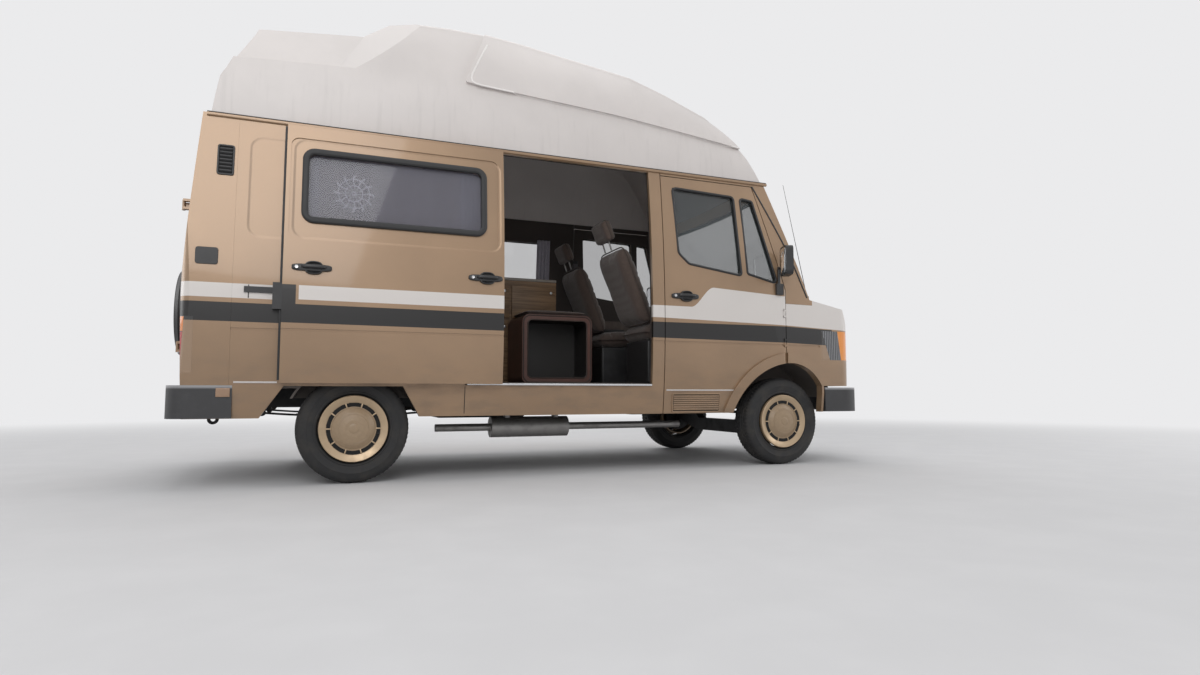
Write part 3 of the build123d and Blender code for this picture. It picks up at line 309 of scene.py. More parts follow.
@dataclass(frozen=True)
class Stripes:
    """The white and dark bands along the body, as stations from the rear axle and heights in metres.

    Each row of a band's edges holds: station, lower height, upper height. The white one rises to the cab
    window between rise_start and rise_end. On the sliding door it has a gap; a dark patch by the rail is the
    dark carriage cover and painted shade of the door's corner.
    """

    rear_axle: float
    white: tuple = ((-1.2, 1.060, 1.140), (2.0, 1.055, 1.140), (3.05, 1.036, 1.32), (3.70, 1.015, 1.32))
    dark: tuple = ((-1.2, 0.930, 1.035), (2.0, 0.914, 1.024), (3.05, 0.906, 1.028), (3.42, 0.898, 1.018))
    rise_start: float = 2.235
    rise_end: float = 2.425
    gap: tuple = (-0.60, -0.32)
    catch: tuple = (-0.5, -0.335, 1.02, 1.142)
    dark_end: float = 3.49

    def edge(self, station: Flow, rows: tuple, column: int) -> Flow:
        """Height of a band's edge along the van, as straight runs between the rows."""
        height = None
        for (s0, *low), (s1, *high) in zip(rows, rows[1:]):
            run = ((station - s0) / (s1 - s0)).clip() * (high[column - 1] - low[column - 1])
            height = run + low[column - 1] if height is None else height + run
        return height

    def masks(self, x: Flow, y: Flow, z: Flow) -> tuple[Flow, Flow]:
        """Masks of the white and the dark band.

        Args:
            x: station in the row frame.
            y: width.
            z: height.

        Returns:
            The white mask and the dark mask.
        """
        station = x - self.rear_axle
        low = self.edge(station, self.white, 1)
        top = self.edge(station, self.white[:2], 2)
        rise = station.ramp(self.rise_start, self.rise_end)
        under_window = (station - 2.43) * -0.053 + 1.286
        ahead = station.ramp(3.036, 3.038)
        top = top + rise * (under_window - top) + ahead * 0.08
        outside = abs(y).ramp(0.855, 0.86)
        on_slide = y.ramp(-0.990, -0.993)
        rail = station.within(*self.gap) * on_slide
        white = z.within(low, top, 0.0012) * outside * (1 - rail)
        dark = z.within(self.edge(station, self.dark, 1), self.edge(station, self.dark, 2), 0.0012) * outside
        # Dark patch on the sliding door by the rail: the dark carriage cover, and painted shade of the door's
        # corner.
        dark = dark.most(station.within(*self.catch[:2]) * z.within(*self.catch[2:]) * on_slide)
        return white, dark * station.ramp(self.dark_end + 0.0008, self.dark_end - 0.0008)


@dataclass(frozen=True)
class BodyPaint(Finish):
    """Tan metallic paint under lacquer with the bands, and a dark lining on the inner faces, partly painted
    shade.
    """

    stripes: Stripes | None = None
    white: Colour = (0.70, 0.66, 0.63)
    dark: Colour = (0.012, 0.011, 0.011)
    lining: Colour = (0.045, 0.035, 0.030)
    bands: bool = True
    film: Colour = (0.16, 0.125, 0.095)
    pressed: tuple = (1.405, 2.010)
    corner: float = 0.075
    wall_panel: tuple = (-0.605, 0.560)
    door_panel: tuple = (-0.372, 0.853)

    def outer_half(self, z: Flow) -> Flow:
        """Half width of the body at a height: two parabolas that meet at the waist."""
        low = ((z - 0.39) / 0.73).clip()
        high = ((z - 1.12) / 1.0).clip()
        return (low * 0.045 + low * (1 - low) * 0.056 + 0.942) - high * 0.072 + high * (1 - high) * 0.056

    def banded(self, sheet: Sheet, base: Any, white: Flow, dark: Flow) -> Flow:
        """A colour with both bands over it, by their masks."""
        return sheet.tint(dark, sheet.tint(white, base, self.white), self.dark)

    def pressing(self, station: Flow, z: Flow, ends: tuple[float, float]) -> Flow:
        """Soft-edged rounded rectangle between two stations, as the pressing round a side window.

        It is the distance to a smaller rectangle, sqrt(dx^2 + dz^2), taken as a smooth step at the radius.

        Args:
            station: station from the rear axle.
            z: height.
            ends: rear and front station of the pressing.

        Returns:
            1 inside the pressing and 0 outside.
        """
        low, high = self.pressed
        dx = (abs(station - sum(ends) / 2) - (ends[1] - ends[0]) / 2 + self.corner).most(0)
        dz = (abs(z - (low + high) / 2) - (high - low) / 2 + self.corner).most(0)
        return (dx * dx + dz * dz).op("SQRT").ramp(self.corner, self.corner - 0.018)

    def dress(self, sheet: Sheet) -> None:
        """Lacquered metallic paint: flakes, orange peel, road film low down, and bands."""
        x, y, z = sheet.place()
        cloud = sheet.grain(1.7, 4.0)
        flake = sheet.cells(900.0)
        base = self.clouded(sheet, cloud.ramp(0.35, 0.7), 0.93, 1.05)
        base = sheet.tint(flake.ramp(0.55, 0.2) * 0.18, base, self.shade(1.45))
        station = x - self.stripes.rear_axle
        metal: Any = 0.35
        relief: Any = 0.0
        lacquer: Any = 0.6
        if self.bands:
            white, dark = self.stripes.masks(x, y, z)
            base = self.banded(sheet, base, white, dark)
            metal = (1 - white.most(dark)) * 0.35
            lacquer = (1 - dark * 0.8) * 0.6
            door = (y * -1 - self.outer_half(z)).ramp(0.030, 0.034)
            wall = (1 - door) * y.ramp(-0.80, -0.85)
            relief = self.pressing(station, z, self.door_panel) * door
            relief = (relief + self.pressing(station, z, self.wall_panel) * wall) * -22.0
        film = sheet.grain(6.0, 5.0, (1, 1, 2.5)).ramp(0.35, 0.75) * z.ramp(0.95, 0.4)
        base = sheet.tint(film * 0.45, base, self.film)
        front = z.ramp(1.215, 1.225) * 0.26 + 2.99 - (z - 1.24).most(0) * 0.43
        rear = (z - 1.12).most(0) * 0.07 - 0.89
        in_cabin = (front - station).ramp(-0.002, 0.002) * (station - rear).ramp(-0.002, 0.002)
        # Inner faces take a dark brown lining colour, darkened further as painted shade of the dim inside.
        inner = (self.outer_half(z) - abs(y)).ramp(0.024, 0.027) * abs(y).ramp(0.60, 0.62) * in_cabin
        base = sheet.tint(inner, base, self.lining)
        sheet.set(Base_Color=base, Metallic=(1 - inner) * metal * (1 - film),
                  Roughness=film * 0.3 + cloud * 0.08 + self.roughness + inner * 0.4,
                  Coat_Weight=(1 - inner) * (1 - film) * lacquer, Coat_Roughness=0.06)
        sheet.bump(sheet.grain(220.0, 2.0) * 0.5 + sheet.grain(2.2, 2.0) * 4.0 + relief, 0.0004, 0.3)


@dataclass(frozen=True)
class RoofShell(Finish):
    """Painted moulded plastic of the high roof, a little weathered."""

    def dress(self, sheet: Sheet) -> None:
        """Off-white gel coat with faint runs of dirt down its sides."""
        z = sheet.place()[2]
        cloud = sheet.grain(2.2, 5.0)
        runs = sheet.grain(9.0, 4.0, (3.0, 3.0, 0.25)).ramp(0.5, 0.78)
        base = self.clouded(sheet, cloud.ramp(0.3, 0.75), 0.95, 1.03)
        base = sheet.tint(runs * z.ramp(2.75, 2.15) * 0.22, base, self.shade(0.62))
        sheet.set(Base_Color=base, Roughness=cloud * 0.2 + self.roughness, Coat_Weight=0.25,
                  Coat_Roughness=0.2)
        sheet.bump(sheet.grain(130.0, 3.0) * 0.4 + sheet.grain(3.0, 2.0) * 3.0, 0.0008, 0.35)


@dataclass(frozen=True)
class Rubber(Finish):
    """Black rubber or soft plastic; above a height set by two given heights it is painted paler as a
    highlight, and smoother.
    """

    grain: float = 700.0
    cap: tuple | None = None
    dusty: float = 2.6
    cap_colour: Colour = (0.33, 0.33, 0.34)

    def dress(self, sheet: Sheet) -> None:
        """Matt, dusty in patches, with a fine grain; a painted highlight along the top where one is set."""
        dust = sheet.grain(14.0, 5.0).ramp(0.45, 0.8)
        base = sheet.tint(dust * 0.35, self.colour, self.shade(self.dusty))
        rough = dust * 0.15 + self.roughness
        if self.cap:
            # Paler above the given height: a painted highlight of light on the rounded top.
            above = sheet.place()[2].ramp(*self.cap)
            base, rough = sheet.tint(above, base, self.cap_colour), rough - above * 0.2
        sheet.set(Base_Color=base, Roughness=rough)
        sheet.bump(sheet.grain(self.grain, 3.0), 0.0006, 0.4)


@dataclass(frozen=True)
class Metal(Finish):
    """Bare, plated or cast metal."""

    metallic: float = 1.0
    scratch: float = 0.25

    def dress(self, sheet: Sheet) -> None:
        """Metal with fine drawn scratches and dull patches."""
        lines = sheet.grain(400.0, 2.0, (0.08, 1.0, 1.0))
        patch = sheet.grain(11.0, 4.0).ramp(0.4, 0.8)
        sheet.set(Base_Color=sheet.tint(patch * 0.5, self.colour, self.shade(0.7)),
                  Metallic=self.metallic, Roughness=patch * 0.2 + lines * 0.1 + self.roughness)
        sheet.bump(lines, 0.0003, self.scratch)


@dataclass(frozen=True)
class Glass(Finish):
    """Window or lens glass on a closed pane."""

    alpha: float = 0.4
    ribs: float = 0.0

    def dress(self, sheet: Sheet) -> None:
        """A tinted pane that lets part of the light through; ribs run upright on a lens."""
        smear = sheet.grain(5.0, 4.0)
        sheet.set(Base_Color=sheet.tint(smear.ramp(0.4, 0.8) * 0.4, self.colour, self.shade(1.3)),
                  Roughness=smear * 0.05 + self.roughness, Alpha=self.alpha, Coat_Weight=1.0,
                  Coat_Roughness=0.02)
        if self.ribs:
            x, y, _ = sheet.place()
            wave = ((x + y * 0.6) * (TURN / self.ribs)).sin() * 0.5 + 0.5
            sheet.bump(wave, 0.002, 0.6)


@dataclass(frozen=True)
class CornerLamp(Finish):
    """Side of the front lamp unit: ribbed dark glass, amber ahead of it and body colour behind.

    The rib crests are painted lighter as highlights, and the amber has painted glints.
    """

    body: BodyPaint | None = None
    top: float = 1.008
    unit_edge: tuple = (3.389, 0.345)
    amber_edge: tuple = (3.545, 0.150)
    amber: Colour = (0.80, 0.22, 0.015)
    smoked: Colour = (0.035, 0.036, 0.040)

    def dress(self, sheet: Sheet) -> None:
        """Both edges lean back: station = foot + slope times the depth below the unit's top."""
        x, y, z = sheet.place()
        station = x - self.body.stripes.rear_axle
        drop = z * -1 + self.top
        glass, amber = ((station - (drop * slope + foot)).ramp(-0.0008, 0.0008)
                        for foot, slope in (self.unit_edge, self.amber_edge))
        paint = self.body.banded(sheet, self.body.colour, *self.body.stripes.masks(x, y, z))
        rib = ((station - y * 0.6) * (TURN / 0.017)).sin() * 0.5 + 0.5
        # The rib crests take the lighter main colour: painted highlights on the ribbed glass.
        smoked = sheet.tint(rib.ramp(0.72, 0.95), self.smoked, self.colour)
        fleck = sheet.cells(170.0).ramp(0.1, 0.5)
        # Lighter flecks in the amber: painted glints.
        amber_glints = sheet.tint(fleck * 0.4, self.amber, (0.95, 0.40, 0.05))
        sheet.set(Base_Color=sheet.tint(glass, paint, sheet.tint(amber, smoked, amber_glints)),
                  Roughness=glass * -0.15 + 0.27, Coat_Weight=1.0, Coat_Roughness=0.03)
        sheet.bump(rib * glass, 0.0015, 0.5)


@dataclass(frozen=True)
class TailLamp(Finish):
    """Rear lamp with amber, red and clear bands; its side flank is body colour."""

    body: BodyPaint | None = None
    bands: tuple = ((0.866, 0.95, (0.80, 0.22, 0.015)), (0.640, 0.712, (0.62, 0.60, 0.58)))

    def dress(self, sheet: Sheet) -> None:
        """Bands by height with thin dark joints, and fine upright ribs in the lens."""
        x, y, z = sheet.place()
        base: Any = self.colour
        for low, high, colour in self.bands:
            base = sheet.tint(z.within(low, high, 0.0008), base, colour)
            for edge in (low, high):
                base = sheet.tint(abs(z - edge).ramp(0.0026, 0.0018), base, (0.02, 0.02, 0.02))
        rib = (y * (TURN / 0.006)).sin() * 0.5 + 0.5
        flank = (abs(y) - self.body.outer_half(z)).ramp(-0.012, -0.010)
        paint = self.body.banded(sheet, self.body.colour, *self.body.stripes.masks(x, y, z))
        fleck = sheet.grain(80.0, 3.0)
        base = sheet.tint(fleck * 0.25, base, (0.05, 0.01, 0.01))
        sheet.set(Base_Color=sheet.tint(flank, base, paint), Roughness=fleck * 0.1 + self.roughness,
                  Coat_Weight=1.0, Coat_Roughness=0.04)
        sheet.bump(rib * (1 - flank), 0.001, 0.4)


@dataclass(frozen=True)
class Cloth(Finish):
    """Woven or pile cloth; its weave follows the UV map, or Object coordinates on stuffed pieces."""

    second: Colour = (0.1, 0.08, 0.07)
    threads: float = 260.0
    mapped: bool = True

    def dress(self, sheet: Sheet) -> None:
        """Over and under threads from two crossed waves, with slubs and a soft sheen."""
        source = "UV" if self.mapped else "Object"
        split = sheet.node("ShaderNodeSeparateXYZ", {}, {0: sheet.coords.outputs[source]})
        u, v, w = (Flow(sheet, out) * (self.threads * TURN) for out in split.outputs)
        if not self.mapped:
            u, v = u + w * 0.37, v + w
        weave = (u.sin() * v.sin()) * 0.5 + 0.5
        slub = sheet.grain(45.0, 4.0)
        base = sheet.tint(weave.ramp(0.3, 0.7) * 0.6, self.colour, self.second)
        base = sheet.tint(slub.ramp(0.45, 0.8) * 0.4, base, self.shade(1.35))
        sheet.set(Base_Color=base, Roughness=self.roughness, Sheen_Weight=0.3, Sheen_Roughness=0.5)
        sheet.bump(weave + slub, 0.0009, 0.5)


@dataclass(frozen=True)
class Lace(Finish):
    """Net curtain with a knitted rosette on it, by Object coordinates of its own middle."""

    centre: tuple = (0.0, 0.0)
    petals: int = 12
    ground: float = 0.42

    def dress(self, sheet: Sheet) -> None:
        """Rings and petals of thicker thread round a centre, in a net of fine holes, with painted shade along
        its folds.

        With r and a the polar coordinates about the centre, thread lies where sin(45 r) or
        cos(petals a + 30 r) is near 1 within the rosette's radius, and where a fine grid crosses.
        """
        x, _, z = sheet.place()
        dx, dz = x - self.centre[0], z - self.centre[1]
        radius = (dx * dx + dz * dz).op("SQRT")
        angle = sheet.math("ARCTAN2", dz, dx)
        inside = radius.ramp(0.118, 0.112)
        rings = (radius * 160.0).sin().ramp(0.6, 0.9)
        petals = (angle * self.petals + (radius * 60.0).sin() * 0.8).op("COSINE").ramp(0.5, 0.9)
        thread = (rings.most(petals) * inside).clip()
        net = ((x * (TURN / 0.004)).sin() * (z * (TURN / 0.004)).sin() * 0.5 + 0.5).ramp(0.4, 0.7)
        # Darker bands along the folds: painted shade.
        folds = sheet.grain(3.0, 2.0, (4.0, 1.0, 0.3))
        base = self.clouded(sheet, thread, 0.66, 1.0)
        base = sheet.tint(folds.ramp(0.4, 0.7) * 0.25, base, self.shade(0.8))
        sheet.set(Base_Color=base, Roughness=self.roughness, Alpha=thread * 0.25 + net * 0.15 + self.ground,
                  Sheen_Weight=0.2, Sheen_Roughness=0.5)
        sheet.bump(thread + net * 0.2, 0.001, 0.5)


@dataclass(frozen=True)
class Wood(Finish):
    """Furniture board with a printed grain."""

    def dress(self, sheet: Sheet) -> None:
        """Long grain along x with darker figure."""
        warp = sheet.grain(3.0, 3.0, (0.4, 1.5, 3.0))
        lines = sheet.grain(26.0, 5.0, (0.12, 1.2, 2.6))
        figure = (lines * 0.7 + warp * 0.5).ramp(0.42, 0.72)
        sheet.set(Base_Color=self.clouded(sheet, figure, 1.12, 0.62),
                  Roughness=figure * 0.12 + self.roughness)
        sheet.bump(lines, 0.0004, 0.3)


@dataclass(frozen=True)
class SeatShell(Finish):
    """Red-brown covering of the boxed seats, with painted shade in the recess under the one by the doorway.
    """

    rear_axle: float = 0.0
    recess: tuple = (1.317, 1.803, 0.647, 1.103)
    hollow: Colour = (0.016, 0.014, 0.013)

    def dress(self, sheet: Sheet) -> None:
        """Leathery cloud and pores; the recess's painted shade counts from 6 mm behind the front edge."""
        x, y, z = sheet.place()
        a, b, low, high = self.recess
        inside = (x - self.rear_axle).within(a, b, 0.002) * z.within(low, high, 0.002)
        inside = inside * y.ramp(-0.035, -0.028)
        cloud = sheet.grain(7.0, 4.0)
        base = self.clouded(sheet, cloud.ramp(0.3, 0.75), 0.85, 1.15)
        # The recess is painted near black: painted shade inside it.
        sheet.set(Base_Color=sheet.tint(inside, base, self.hollow), Roughness=cloud * 0.15 + self.roughness)
        sheet.bump(sheet.cells(420.0), 0.0006, 0.4)


@dataclass(frozen=True)
class TyreRubber(Finish):
    """Tyre rubber, greyer where the road scrubs it."""

    def dress(self, sheet: Sheet) -> None:
        """Dusty grey in patches, with a fine mottle."""
        dust = sheet.grain(9.0, 6.0).ramp(0.4, 0.75)
        sheet.set(Base_Color=sheet.tint(dust * 0.5, self.colour, (0.075, 0.068, 0.060)),
                  Roughness=dust * 0.15 + self.roughness)
        sheet.bump(sheet.grain(500.0, 4.0), 0.0007, 0.45)


@dataclass
class Palette:
    """Every finish of the van, made from its stripes' place."""

    rear_axle: float
    body: Finish = field(init=False)
    body_plain: Finish = field(init=False)
    corner_lamp: Finish = field(init=False)
    tail_lamp: Finish = field(init=False)
    roof: Finish = RoofShell("roof_gel_coat", (0.66, 0.62, 0.60), 0.32)
    rubber: Finish = Rubber("seal_rubber", (0.016, 0.016, 0.017), 0.55)
    plastic: Finish = Rubber("black_trim_plastic", (0.022, 0.022, 0.023), 0.42, 450.0)
    # Its paler top is a painted highlight.
    bumper: Finish = Rubber("bumper_plastic", (0.035, 0.035, 0.037), 0.5, 300.0, (0.552, 0.568), 2.2)
    glass: Finish = Glass("tinted_glass", (0.035, 0.045, 0.055), 0.03, 0.55)
    screen: Finish = Glass("windscreen_glass", (0.06, 0.075, 0.08), 0.03, 0.32)
    lens_clear: Finish = Glass("lamp_lens", (0.35, 0.36, 0.37), 0.06, 0.55, 0.012)
    tyre: Finish = TyreRubber("tyre_rubber", (0.018, 0.018, 0.019), 0.72)
    cover: Finish = Finish("wheel_cover_paint", (0.36, 0.26, 0.165), 0.36)
    steel: Finish = Metal("bright_steel", (0.62, 0.62, 0.63), 0.22)
    dull_steel: Finish = Metal("dull_steel", (0.36, 0.35, 0.34), 0.45)
    black_steel: Finish = Metal("black_steel", (0.02, 0.02, 0.021), 0.5, 0.3)
    cast: Finish = Metal("cast_metal", (0.10, 0.095, 0.09), 0.65, 0.6)
    pale: Finish = Finish("pale_trim", (0.62, 0.58, 0.56), 0.35)
    # Near black: dark joints, seams and dial faces, and painted shade behind vents and wheel-cover slots.
    recess: Finish = Finish("dark_recess", (0.010, 0.010, 0.010), 0.9)
    mirror: Finish = Metal("mirror_silver", (0.85, 0.86, 0.88), 0.02, 1.0, 0.0)
    wood: Finish = Wood("furniture_board", (0.30, 0.185, 0.10), 0.38)
    worktop: Finish = Finish("worktop", (0.42, 0.38, 0.34), 0.3)
    floor: Finish = Finish("floor_mat", (0.11, 0.095, 0.085), 0.6)
    seat: Finish = Cloth("brown_seat_weave", (0.105, 0.074, 0.060), 0.85, (0.055, 0.040, 0.034), mapped=False)
    piping: Finish = Rubber("seat_piping", (0.055, 0.038, 0.032), 0.5, 300.0)
    seat_shell: Finish = field(init=False)
    belt: Finish = Rubber("belt_webbing", (0.10, 0.095, 0.10), 0.6, 900.0)
    door_card: Finish = Rubber("door_card_vinyl", (0.085, 0.062, 0.050), 0.5, 350.0)
    curtain: Finish = Cloth("curtain_cloth", (0.46, 0.44, 0.50), 0.9, (0.36, 0.34, 0.40), 160.0)
    ring: Finish = Metal("wheel_trim_ring", (0.50, 0.375, 0.245), 0.28, 0.45, 0.15)
    # Paler than the roof: a painted highlight along the raised panel's edge.
    roof_edge: Finish = RoofShell("roof_edge_gel_coat", (0.80, 0.77, 0.75), 0.25)
    lilac_glass: Finish = Glass("lilac_glass", (0.10, 0.10, 0.14), 0.05, 0.24)
    reflector: Finish = Finish("dull_reflector", (0.36, 0.23, 0.15), 0.15)
    plate: Finish = Finish("blank_plate", (0.60, 0.59, 0.56), 0.35)
    cover_cloth: Finish = Rubber("spare_cover_vinyl", (0.02, 0.02, 0.021), 0.38, 260.0)

    def __post_init__(self) -> None:
        """Make the paints that need the van's stations."""
        stripes = Stripes(self.rear_axle)
        tan = (0.315, 0.205, 0.122)
        self.body = BodyPaint("tan_lacquer", tan, 0.27, stripes)
        self.body_plain = BodyPaint("tan_lacquer_plain", tan, 0.27, stripes, bands=False)
        self.seat_shell = SeatShell("red_brown_shell", (0.150, 0.075, 0.060), 0.42, self.rear_axle)
        # The lamp lens's main colour is the painted highlight on its rib crests.
        self.corner_lamp = CornerLamp("corner_lamp_lens", (0.30, 0.31, 0.33), 0.1, self.body)
        self.tail_lamp = TailLamp("tail_lamp_lens", (0.45, 0.012, 0.012), 0.15, self.body)


# Surfaces
def grid_faces(rows: int, cols: int, wrap_rows: bool = False, wrap_cols: bool = False) -> Array:
    """Quads between the points of a grid numbered row by row.

    Args:
        rows: rows of points.
        cols: points in a row.
        wrap_rows: join the last row to the first.
        wrap_cols: join the last column to the first.

    Returns:
        The quads, n by 4.
    """
    r = np.arange(rows if wrap_rows else rows - 1)[:, None]
    c = np.arange(cols if wrap_cols else cols - 1)[None, :]
    r_next, c_next = (r + 1) % rows, (c + 1) % cols
    quads = np.stack(np.broadcast_arrays(r * cols + c, r * cols + c_next, r_next * cols + c_next,
                                         r_next * cols + c), axis=-1)
    return quads.reshape(-1, 4)


@dataclass
class Surface:
    """Points and faces of one or more sheets, and a UV for each point where cloth needs it."""

    points: Array
    faces: list[Array]
    uv: Array | None = None

    def mesh(self, name: str) -> Any:
        """A new Blender mesh of the surface."""
        made = bpy.data.meshes.new(name)
        made.from_pydata(self.points.tolist(), [], [face for rows in self.faces for face in rows.tolist()])
        return made

    def __add__(self, other: "Surface") -> "Surface":
        """Both surfaces as one."""
        shift = len(self.points)
        uv = None
        if self.uv is not None and other.uv is not None:
            uv = np.concatenate([self.uv, other.uv])
        return Surface(np.concatenate([self.points, other.points]),
                       self.faces + [face + shift for face in other.faces], uv)

    def moved(self, x: float = 0.0, y: float = 0.0, z: float = 0.0) -> "Surface":
        """The surface moved."""
        return Surface(self.points + np.array([x, y, z]), self.faces, self.uv)

    def turned(self, axis: str, degrees: float) -> "Surface":
        """The surface turned about an axis through the origin."""
        spin = np.array(Euler([np.radians(degrees) if a == axis else 0.0 for a in "XYZ"]).to_matrix())
        return Surface(self.points @ spin.T, self.faces, self.uv)

    def flipped(self) -> "Surface":
        """The same points with every face turned over."""
        return Surface(self.points, [face[:, ::-1] for face in self.faces], self.uv)

    def mirrored(self) -> "Surface":
        """The surface on the other side of the van, its faces still outward."""
        return Surface(self.points * np.array([1, -1, 1]), self.faces, self.uv).flipped()

    def drawn(self, side: Side, home: Side = Side.LEFT) -> "Surface":
        """The surface for a side, mirrored where that isn't the side it was worked out for."""
        return self if side is home else self.mirrored()

    def facing(self, side: Side) -> "Surface":
        """The surface made from stations and heights of a side, its faces outward there."""
        return self if side is Side.RIGHT else self.flipped()


def total(surfaces: Sequence[Surface]) -> Surface:
    """Many surfaces as one."""
    made = surfaces[0]
    for other in surfaces[1:]:
        made = made + other
    return made


def mesh_points(mesh: Any) -> Array:
    """Points of a mesh, n by 3."""
    flat = np.zeros(len(mesh.vertices) * 3, np.float32)
    mesh.vertices.foreach_get("co", flat)
    return flat.reshape(-1, 3).astype(float)


def mesh_corners(mesh: Any) -> Array:
    """Number of the point at each corner of a mesh's faces, face by face."""
    corners = np.zeros(len(mesh.loops), np.int32)
    mesh.loops.foreach_get("vertex_index", corners)
    return corners


def show(name: str, surface: Surface, finish: Finish, body: str = "van_body", smooth: float = 40.0) -> Any:
    """Make a piece and let it ride on a body.

    Args:
        name: the piece's name.
        surface: its points and faces, in the row frame.
        finish: its finish.
        body: the body that it rides on.
        smooth: angle in degrees over which edges stay sharp.

    Returns:
        The piece.
    """
    mesh = surface.mesh(name)
    mesh.validate()
    if surface.uv is not None:
        layer = mesh.uv_layers.new(name="UVMap")
        layer.data.foreach_set("uv", surface.uv[mesh_corners(mesh)].astype(np.float32).ravel())
    piece = bpy.data.objects.new(name, mesh)
    bpy.context.scene.collection.objects.link(piece)
    mesh.shade_smooth()
    mesh.set_sharp_from_angle(angle=np.radians(smooth))
    mesh.materials.append(finish.material())
    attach(piece, body)
    log.info("%s: %d faces on %s", name, len(mesh.polygons), body)
    return piece


def rounded(corners: Sequence[Sequence[float]], radius: float | Sequence[float],
            steps: int = 8) -> Array:
    """A closed outline with each corner replaced by an arc.

    The arc's centre lies on the corner's bisector, at radius from both edges; the arc runs between the
    feet of the two perpendiculars.

    Args:
        corners: the corners in order, two numbers each.
        radius: one radius, or one for each corner.
        steps: runs in each arc.

    Returns:
        The outline's points, n by 2.
    """
    pts = np.asarray(corners, float)
    radii = np.broadcast_to(np.asarray(radius, float), len(pts))
    to_last = np.roll(pts, 1, 0) - pts
    to_next = np.roll(pts, -1, 0) - pts
    to_last /= np.linalg.norm(to_last, axis=1)[:, None]
    to_next /= np.linalg.norm(to_next, axis=1)[:, None]
    half = np.arccos(np.clip((to_last * to_next).sum(1), -1, 1)) / 2
    reach = radii / np.tan(half)
    start, end = pts + to_last * reach[:, None], pts + to_next * reach[:, None]
    bisector = to_last + to_next
    bisector /= np.linalg.norm(bisector, axis=1)[:, None]
    centre = pts + bisector * (radii / np.sin(half))[:, None]
    t = np.linspace(0, 1, steps + 1)[None, :, None]
    ray = (start - centre)[:, None] * (1 - t) + (end - centre)[:, None] * t
    ray *= radii[:, None, None] / np.maximum(np.linalg.norm(ray, axis=2, keepdims=True), 1e-9)
    return (centre[:, None] + ray).reshape(-1, 2)


def frames(path: Array, normal: Sequence[float], closed: bool) -> tuple[Array, Array]:
    """Side and up directions along a path.

    Args:
        path: points, n by 3.
        normal: the wanted up direction.
        closed: whether the path closes.

    Returns:
        The side directions and the up directions, each n by 3.
    """
    if closed:
        along = np.roll(path, -1, 0) - np.roll(path, 1, 0)
    else:
        along = np.gradient(path, axis=0)
    along /= np.maximum(np.linalg.norm(along, axis=1), 1e-12)[:, None]
    up = np.asarray(normal, float) - along * (along * normal).sum(1)[:, None]
    up = up / np.maximum(np.linalg.norm(up, axis=1), 1e-12)[:, None]
    return np.cross(along, up), up


def stacked(rings: Sequence[Array], closed: bool = False) -> Surface:
    """Outlines of as many points each, joined one to the next.

    Args:
        rings: the outlines, rows by columns by 3.
        closed: join the last to the first; otherwise both ends get a face.

    Returns:
        The surface; its faces look outward where the outlines turn anticlockwise about the way they go.
    """
    points = np.asarray(rings, float)
    rows, cols = points.shape[:2]
    faces = [grid_faces(rows, cols, closed, True)]
    if not closed:
        faces += [np.arange(cols)[None, ::-1], (np.arange(cols) + (rows - 1) * cols)[None, :]]
    return Surface(points.reshape(-1, 3), faces)


def carry(profile: Array, path: Array, normal: Sequence[float], closed: bool = False,
          scale: Array | None = None) -> Surface:
    """A closed profile carried along a path: point = path + side * a + up * b.

    Args:
        profile: closed outline in side and up, counted anticlockwise seen along the path.
        path: points, n by 3.
        normal: the wanted up direction.
        closed: whether the path closes; an open one is capped.
        scale: factor on the profile at each point of the path.

    Returns:
        The closed surface.
    """
    side, up = frames(path, normal, closed)
    size = np.ones(len(path)) if scale is None else scale
    return stacked(path[:, None] + side[:, None] * (profile[None, :, 0] * size[:, None])[..., None]
                   + up[:, None] * (profile[None, :, 1] * size[:, None])[..., None], closed)


def circle(radius: float, sides: int = 12) -> Array:
    """A round profile, anticlockwise."""
    angle = np.arange(sides) * TURN / sides
    return np.stack([np.cos(angle), np.sin(angle)], 1) * radius


def area(a0: float, a1: float, b0: float, b1: float, radius: float, steps: int = 8) -> Array:
    """A rounded rectangle between two bounds each way, anticlockwise."""
    return rounded([(a0, b0), (a1, b0), (a1, b1), (a0, b1)], radius, steps)


def box_profile(wide: float, tall: float, radius: float, steps: int = 3) -> Array:
    """A rounded rectangle about the origin, anticlockwise."""
    return area(-wide / 2, wide / 2, -tall / 2, tall / 2, radius, steps)


def between(outline: Array, steps: int) -> Array:
    """A closed outline with each of its runs divided into equal steps."""
    t = np.arange(steps)[None, :, None] / steps
    return (outline[:, None] * (1 - t) + np.roll(outline, -1, 0)[:, None] * t).reshape(-1, 2)


def oval(wide: float, tall: float, power: float, count: int = 40) -> Array:
    """Superellipse by angle: a sign(cos) |cos|^power and b sign(sin) |sin|^power."""
    ring = circle(1.0, count)
    return np.sign(ring) * abs(ring) ** power * [wide / 2, tall / 2]


def sampled(rows: Sequence[Sequence[float]], along: Sequence[float], count: int) -> Array:
    """Points at even steps of a line through rows, which lie at these distances along it."""
    t = np.linspace(along[0], along[-1], count)
    return np.stack([np.interp(t, along, column) for column in np.array(rows).T], 1)


def rod(start: Sequence[float], end: Sequence[float], radius: float, sides: int = 12) -> Surface:
    """A round bar with softly rounded ends: its radius follows a quarter circle near each end."""
    a, b = np.asarray(start, float), np.asarray(end, float)
    length = np.linalg.norm(b - a)
    lip = min(radius * 0.4, length / 4)
    at = np.array([0, lip * 0.3, lip, length - lip, length - lip * 0.3, length])
    size = np.array([0.6, 0.88, 1, 1, 0.88, 0.6])
    direction = (b - a) / length
    seed = (0, 0, 1) if abs(direction[2]) < 0.9 else (1, 0, 0)
    return carry(circle(radius, sides), a + at[:, None] * direction, seed, False, size)


